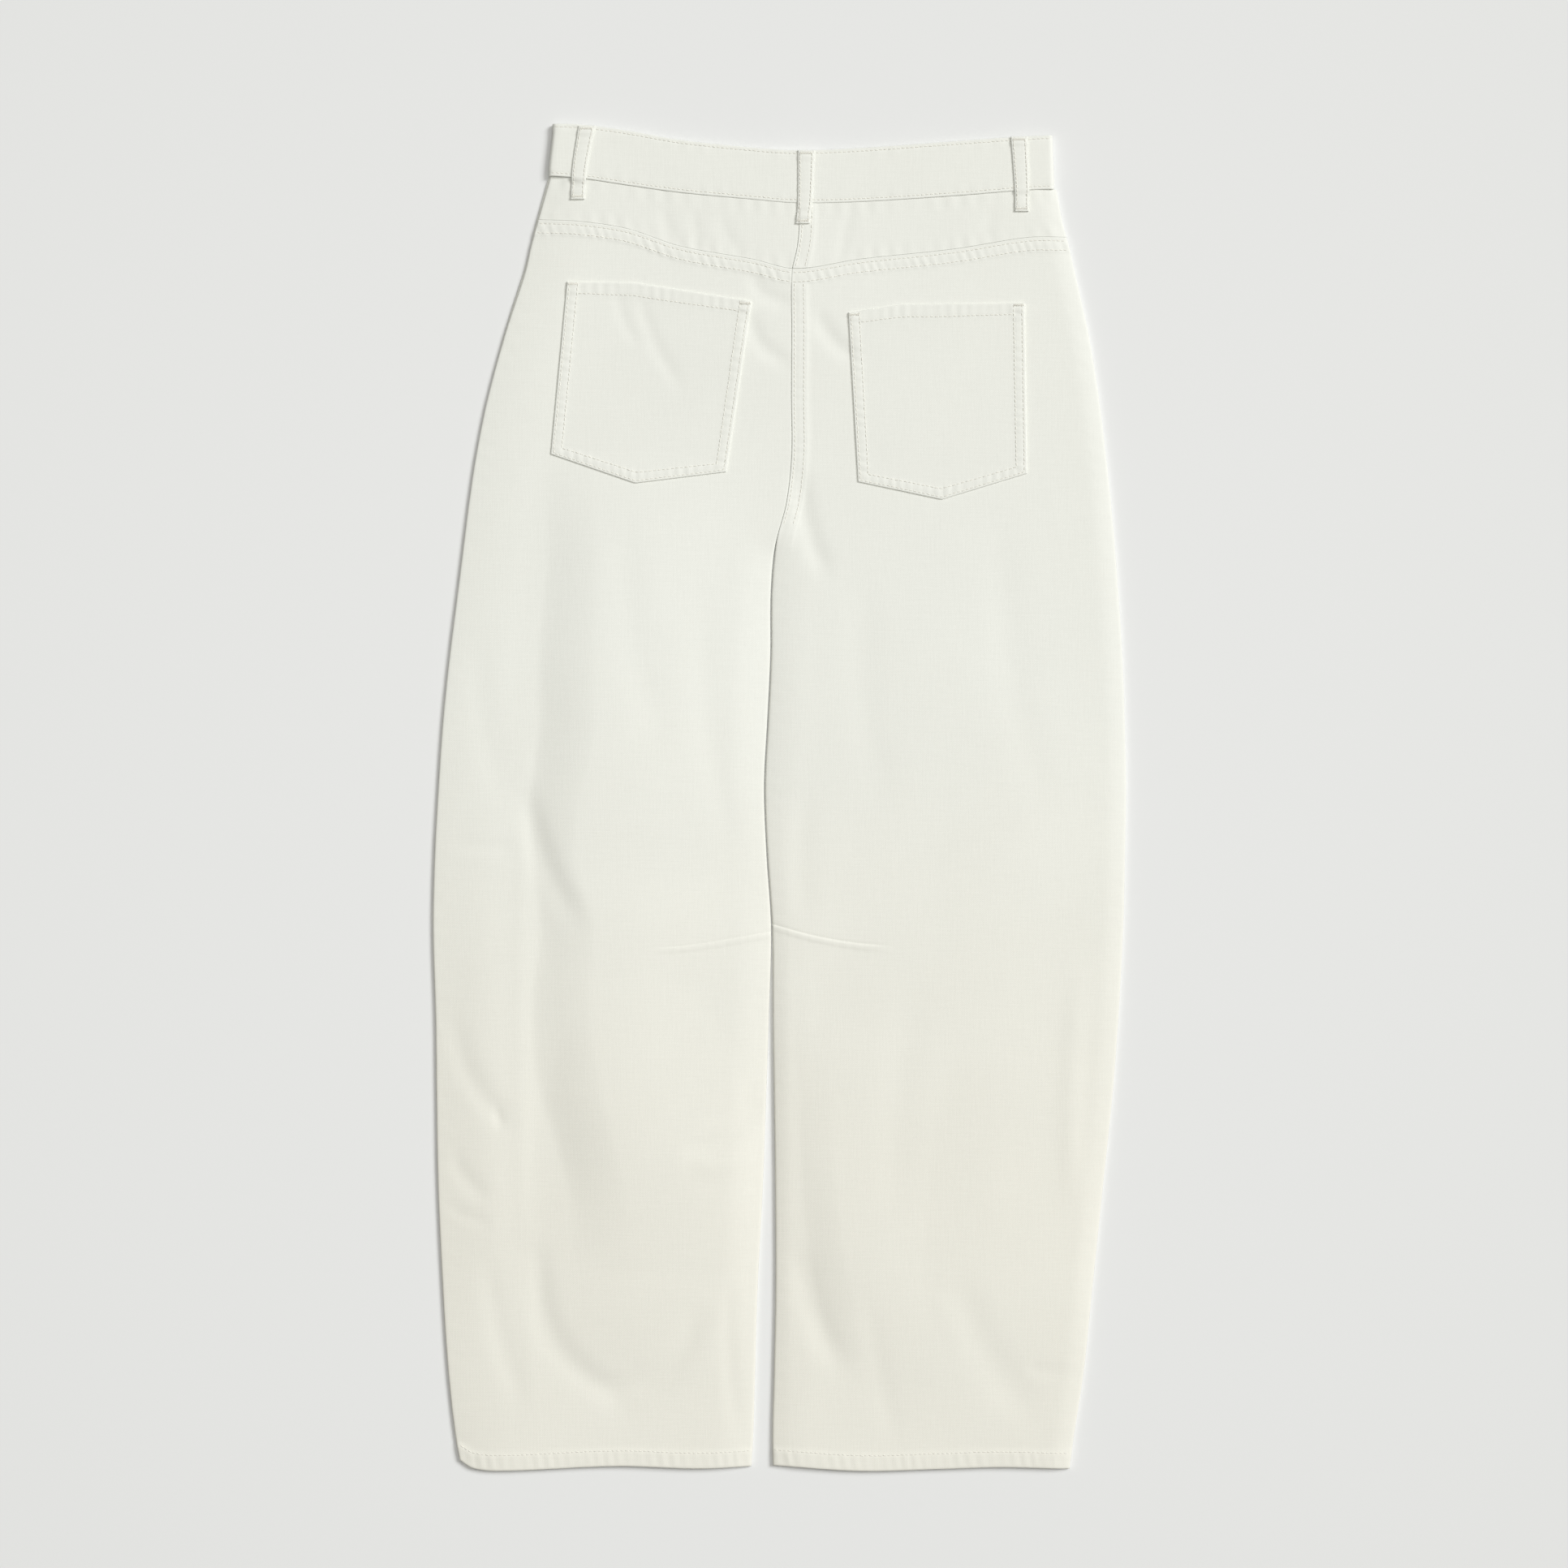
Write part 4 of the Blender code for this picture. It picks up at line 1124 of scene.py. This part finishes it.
def twill_group():
    """Makes the denim's weave: fine diagonal ribs, uneven yarns and a faint unevenness of tone."""
    tree, given, gives = group_nodes(
        "twill_weave", {"Rib width mm": 0.9, "Slub": 1.0, "Lean": 1.0}, ("Tone", "Height")
    )
    links = tree.links
    place = tree.nodes.new("ShaderNodeTexCoord").outputs["Object"]
    axes = tree.nodes.new("ShaderNodeSeparateXYZ")
    links.new(place, axes.inputs[0])
    warp = clouds(tree, squeezed(tree, place, (900.0, 60.0, 60.0)), 1.0, 2.0)
    weft = clouds(tree, squeezed(tree, place, (60.0, 900.0, 60.0)), 1.0, 2.0)
    lean = maths(tree, "MULTIPLY", axes.outputs["Y"], given.outputs["Lean"])
    slope = maths(tree, "ADD", axes.outputs["X"], maths(tree, "MULTIPLY", lean, 0.6))
    count = maths(tree, "DIVIDE", 1000.0 * math.tau, given.outputs["Rib width mm"])
    wander = maths(tree, "MULTIPLY", clouds(tree, place, 90.0, 2.0), 4.0)
    rib = maths(tree, "SINE", maths(tree, "ADD", maths(tree, "MULTIPLY", slope, count), wander))
    yarn = maths(tree, "MULTIPLY", maths(tree, "ADD", warp, weft), given.outputs["Slub"])
    height = maths(tree, "ADD", maths(tree, "MULTIPLY", rib, 0.32), yarn)
    links.new(height, gives.inputs["Height"])

    broad = clouds(tree, place, 7.0, 4.0, 0.6)
    fleck = clouds(tree, place, 420.0, 2.0, 0.7)
    tone = maths(tree, "ADD", swing(tree, yarn, 1.0, 0.5), maths(tree, "MULTIPLY", rib, 0.07))
    tone = maths(tree, "ADD", tone, swing(tree, broad, 0.5, 0.9))
    tone = maths(tree, "ADD", tone, swing(tree, fleck, 0.5, 0.5))
    tone = maths(tree, "ADD", maths(tree, "MULTIPLY", tone, 0.5), 0.5)
    links.new(tone, gives.inputs["Tone"])
    return tree


def start_material(name, roughness, metallic=0.0, sheen=0.0):
    """Starts a material with its uniform values set on the shader."""
    material = bpy.data.materials.new(name)
    material.use_nodes = True
    shader = material.node_tree.nodes["Principled BSDF"]
    shader.inputs["Roughness"].default_value = roughness
    shader.inputs["Metallic"].default_value = metallic
    shader.inputs["Sheen Weight"].default_value = sheen
    shader.inputs["Sheen Roughness"].default_value = 0.6
    shader.inputs["Specular IOR Level"].default_value = 0.2 if metallic == 0.0 else 0.5
    return material, material.node_tree, shader


def colour_between(tree, part, stops):
    """Adds a ramp of colours, each with its place."""
    ramp = tree.nodes.new("ShaderNodeValToRGB")
    line = ramp.color_ramp.elements
    while len(line) < len(stops):
        line.new(0.5)
    for element, (at, colour) in zip(line, stops):
        element.position = at
        element.color = (*colour, 1.0)
    tree.links.new(part, ramp.inputs[0])
    return ramp.outputs[0]


def bumped(tree, height, shader, distance, strength):
    """Gives the shader a relief of a depth in metres."""
    bump = tree.nodes.new("ShaderNodeBump")
    bump.inputs["Distance"].default_value = distance
    bump.inputs["Strength"].default_value = strength
    tree.links.new(height, bump.inputs["Height"])
    tree.links.new(bump.outputs[0], shader.inputs["Normal"])


def hem_shade_group():
    """Makes the cloth's slow change from a neutral cream at the seat to a darker, warmer one at the hems, which
    is painted shade, with random blots of tone.
    """
    tree, given, gives = group_nodes("painted_hem_shade", {"Blots": 0.35}, ("Shade_and_blots",))
    place = tree.nodes.new("ShaderNodeTexCoord").outputs["Object"]
    axes = tree.nodes.new("ShaderNodeSeparateXYZ")
    tree.links.new(place, axes.inputs[0])
    # Painted shade: the cloth gets darker and warmer from the seat down towards the hems.
    down = tree.nodes.new("ShaderNodeMapRange")
    down.interpolation_type = "SMOOTHSTEP"
    down.inputs["From Min"].default_value = 0.16
    down.inputs["From Max"].default_value = -0.34
    tree.links.new(axes.outputs["Y"], down.inputs["Value"])
    blots = maths(tree, "SUBTRACT", clouds(tree, place, 9.0, 3.0), 0.5)
    shade_with_blots = maths(tree, "ADD", down.outputs["Result"], maths(tree, "MULTIPLY", blots, given.outputs["Blots"]))
    tree.links.new(maths(tree, "MINIMUM", maths(tree, "MAXIMUM", shade_with_blots, 0.0), 1.0), gives.inputs["Shade_and_blots"])
    return tree


def cloth_material(name, dark, light, rib=0.9, slub=1.0, lean=1.0, relief=0.00009):
    """Makes a cream cotton denim from the twill weave."""
    material, tree, shader = start_material(name, 0.92, sheen=0.18)
    weave = tree.nodes.new("ShaderNodeGroup")
    weave.node_tree = TWILL
    weave.inputs["Rib width mm"].default_value = rib
    weave.inputs["Slub"].default_value = slub
    weave.inputs["Lean"].default_value = lean
    slow = tree.nodes.new("ShaderNodeGroup")
    slow.node_tree = HEM_SHADE_NODES
    # Mixes the seat's tint towards the hems' tint, which paints shade onto the cloth.
    both = tree.nodes.new("ShaderNodeMix")
    both.data_type = "RGBA"
    tree.links.new(slow.outputs["Shade_and_blots"], both.inputs[0])
    for socket, tint in ((both.inputs[6], COOL_TINT), (both.inputs[7], SHADED_HEM_TINT)):
        stops = [(at, tuple(grey * part for part in tint)) for at, grey in ((0.0, dark), (1.0, light))]
        tree.links.new(colour_between(tree, weave.outputs["Tone"], stops), socket)
    tree.links.new(both.outputs[2], shader.inputs["Base Color"])
    bumped(tree, weave.outputs["Height"], shader, relief, 0.8)
    return material


def thread_material():
    """Makes the sewing thread, a twisted cotton a little glossier than the cloth."""
    material, tree, shader = start_material("sewing_thread", 0.7, sheen=0.2)
    place = tree.nodes.new("ShaderNodeTexCoord").outputs["Object"]
    ply = clouds(tree, squeezed(tree, place, (2600.0, 2600.0, 2600.0)), 1.0, 1.0)
    colour = colour_between(tree, ply, ((0.3, (0.76, 0.745, 0.675)), (0.7, (0.84, 0.83, 0.77))))
    tree.links.new(colour, shader.inputs["Base Color"])
    bumped(tree, ply, shader, 0.0001, 0.6)
    return material


def tape_material():
    """Makes the zip's woven tape, with its fine ribs across."""
    material, tree, shader = start_material("zip_tape_weave", 0.85, sheen=0.1)
    place = tree.nodes.new("ShaderNodeTexCoord").outputs["Object"]
    axes = tree.nodes.new("ShaderNodeSeparateXYZ")
    tree.links.new(place, axes.inputs[0])
    rib = maths(tree, "SINE", maths(tree, "MULTIPLY", axes.outputs["Y"], math.tau / 0.0009))
    rib = maths(tree, "ADD", maths(tree, "MULTIPLY", rib, 0.3), clouds(tree, place, 1500.0, 2.0))
    colour = colour_between(tree, rib, ((0.2, (0.70, 0.68, 0.60)), (0.8, (0.80, 0.78, 0.70))))
    tree.links.new(colour, shader.inputs["Base Color"])
    bumped(tree, rib, shader, 0.0002, 0.6)
    return material


def metal_material(name, dark, light, roughness):
    """Makes a plain satin metal, brushed a little unevenly."""
    material, tree, shader = start_material(name, roughness, metallic=1.0)
    place = tree.nodes.new("ShaderNodeTexCoord").outputs["Object"]
    brushed = clouds(tree, squeezed(tree, place, (400.0, 4000.0, 400.0)), 1.0, 3.0)
    colour = colour_between(tree, brushed, ((0.3, dark), (0.7, light)))
    tree.links.new(colour, shader.inputs["Base Color"])
    bumped(tree, brushed, shader, 0.00005, 0.4)
    return material


def floor_material():
    """Makes the plain pale surface the trousers lie on."""
    material, tree, shader = start_material("pale_surface", 0.9)
    place = tree.nodes.new("ShaderNodeTexCoord").outputs["Object"]
    grain = clouds(tree, place, 500.0, 2.0)
    colour = colour_between(tree, grain, ((0.3, FLOOR_COLOUR), (0.7, tuple(c * 1.004 for c in FLOOR_COLOUR))))
    tree.links.new(colour, shader.inputs["Base Color"])
    bumped(tree, grain, shader, 0.00002, 0.2)
    return material


def set_the_stage():
    """Makes the surface, the light and the camera straight above."""
    bpy.ops.object.select_all(action="DESELECT")
    bpy.ops.mesh.primitive_plane_add(size=40.0, location=(0, 0, FLOOR_LEVEL * MM))
    surface = bpy.context.object
    surface.name = "pale_surface"
    surface.data.materials.append(floor_material())

    world = bpy.data.worlds.new("soft_room")
    bpy.context.scene.world = world
    world.use_nodes = True
    world.node_tree.nodes["Background"].inputs["Color"].default_value = (*WORLD_COLOUR, 1.0)
    world.node_tree.nodes["Background"].inputs["Strength"].default_value = WORLD_LIGHT

    sun = bpy.data.lights.new("soft_window_light", "SUN")
    sun.energy = SUN_STRENGTH
    sun.angle = math.radians(SUN_SPREAD)
    sun.color = SUN_COLOUR
    lamp = bpy.data.lights.new("light_above", "AREA")
    lamp.shape = "DISK"
    lamp.size = LAMP_SIZE
    lamp.energy = LAMP_POWER
    lamp.color = LAMP_COLOUR
    for light, place, down in ((sun, SUN_FROM, SUN_FROM), (lamp, LAMP_AT, (0.0, 0.0, 1.0))):
        fitting = bpy.data.objects.new(light.name, light)
        bpy.context.collection.objects.link(fitting)
        fitting.location = place
        fitting.rotation_euler = (-Vector(down)).to_track_quat("-Z", "Y").to_euler()

    camera = bpy.data.objects.new("camera_above", bpy.data.cameras.new("camera_above"))
    camera.data.lens = 85.0
    camera.data.sensor_width = 36.0
    camera.location = CAMERA_AT
    bpy.context.collection.objects.link(camera)
    bpy.context.scene.camera = camera
    bpy.context.scene.view_settings.view_transform = "Standard"


def zip_tapes(material):
    """Makes the closed zip's two tapes and the raised chain between them."""
    offsets = np.array((-13.0, -12.8, -12.2, -8.0, -4.0, -2.6, -2.3, 0.0, 2.3, 2.6, 4.0, 8.0, 12.2, 12.8, 13.0))
    raised = np.where(np.abs(offsets) < 2.5, 0.45, 0.0)
    drop = np.array((0.35, 0.1, 0.0, 0.0, 0.0, 0.0, 0.0, 0.0, 0.0, 0.0, 0.0, 0.0, 0.0, 0.1, 0.35))
    top = waist_line("seam", WAIST_MIDDLE) - 2
    up = np.linspace(top - ZIP_LENGTH, top, 40)
    across = seat_seam(up)[:, None] + offsets
    up = np.repeat(up[:, None], len(offsets), axis=1)
    outer = in_frame(across, up, FRONT_LEVEL + ZIP_TAPE + raised - drop)
    return wall("zip_tapes", outer, in_frame(across, up, FRONT_LEVEL + 0.05), material)


def cloth_piece(piece, nodes, with_pieces=()):
    """Attaches a sheet of cloth and its sewn pieces to the root, and hides the parts that it stands for."""
    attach(piece, "root")
    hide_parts(*nodes)
    for extra in with_pieces:
        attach(extra, "root")


STITCH_MODEL = stitch_shape()
TWILL = twill_group()
HEM_SHADE_NODES = hem_shade_group()
set_the_stage()

DENIM = {
    "leg": cloth_material("cream_denim", 0.80, 0.92),
    "cross": cloth_material("cream_denim_across", 0.80, 0.92, lean=-1.0),
    "patch": cloth_material("cream_denim_pockets", 0.795, 0.915),
    "inside": cloth_material("cream_denim_front", 0.78, 0.90, slub=0.8),
}
THREAD_LOOK = thread_material()
TAPE_LOOK = tape_material()

for side in ("left", "right"):
    front = front_leg(side, DENIM["inside"])
    sewn = [front_stitches(THREAD_LOOK)] if side == "left" else []
    cloth_piece(front, [f"front_{side}"], sewn)
    panel = back_leg(side, DENIM["leg"])
    sewn = [leg_stitches(side, THREAD_LOOK)]
    cloth_piece(panel, [f"back_{side}"], sewn)
    top = yoke(side, DENIM["cross"])
    sewn = [yoke_stitches(THREAD_LOOK)] if side == "right" else []
    cloth_piece(top, [f"yoke_{side}"], sewn)
    patch = pocket(side, DENIM["patch"])
    cloth_piece(patch, [f"pocket_{side}"], pocket_stitches(side, THREAD_LOOK))

band = waistband(DENIM["cross"])
cloth_piece(band, ["waistband"], band_stitches(THREAD_LOOK))
for name in LOOPS:
    loop = belt_loop(name, DENIM["cross"])
    cloth_piece(loop, [f"belt_loop_{name}"], loop_stitches(name, THREAD_LOOK))

tapes = zip_tapes(TAPE_LOOK)
teeth = zip_teeth(metal_material("zip_metal", (0.66, 0.64, 0.58), (0.78, 0.76, 0.70), 0.35))
cloth_piece(tapes, ["fly_zip"], [teeth])
button = bpy.data.objects["waist_button"]
button.data.materials.clear()
button.data.materials.append(metal_material("satin_metal", (0.56, 0.545, 0.51), (0.66, 0.645, 0.61), 0.32))
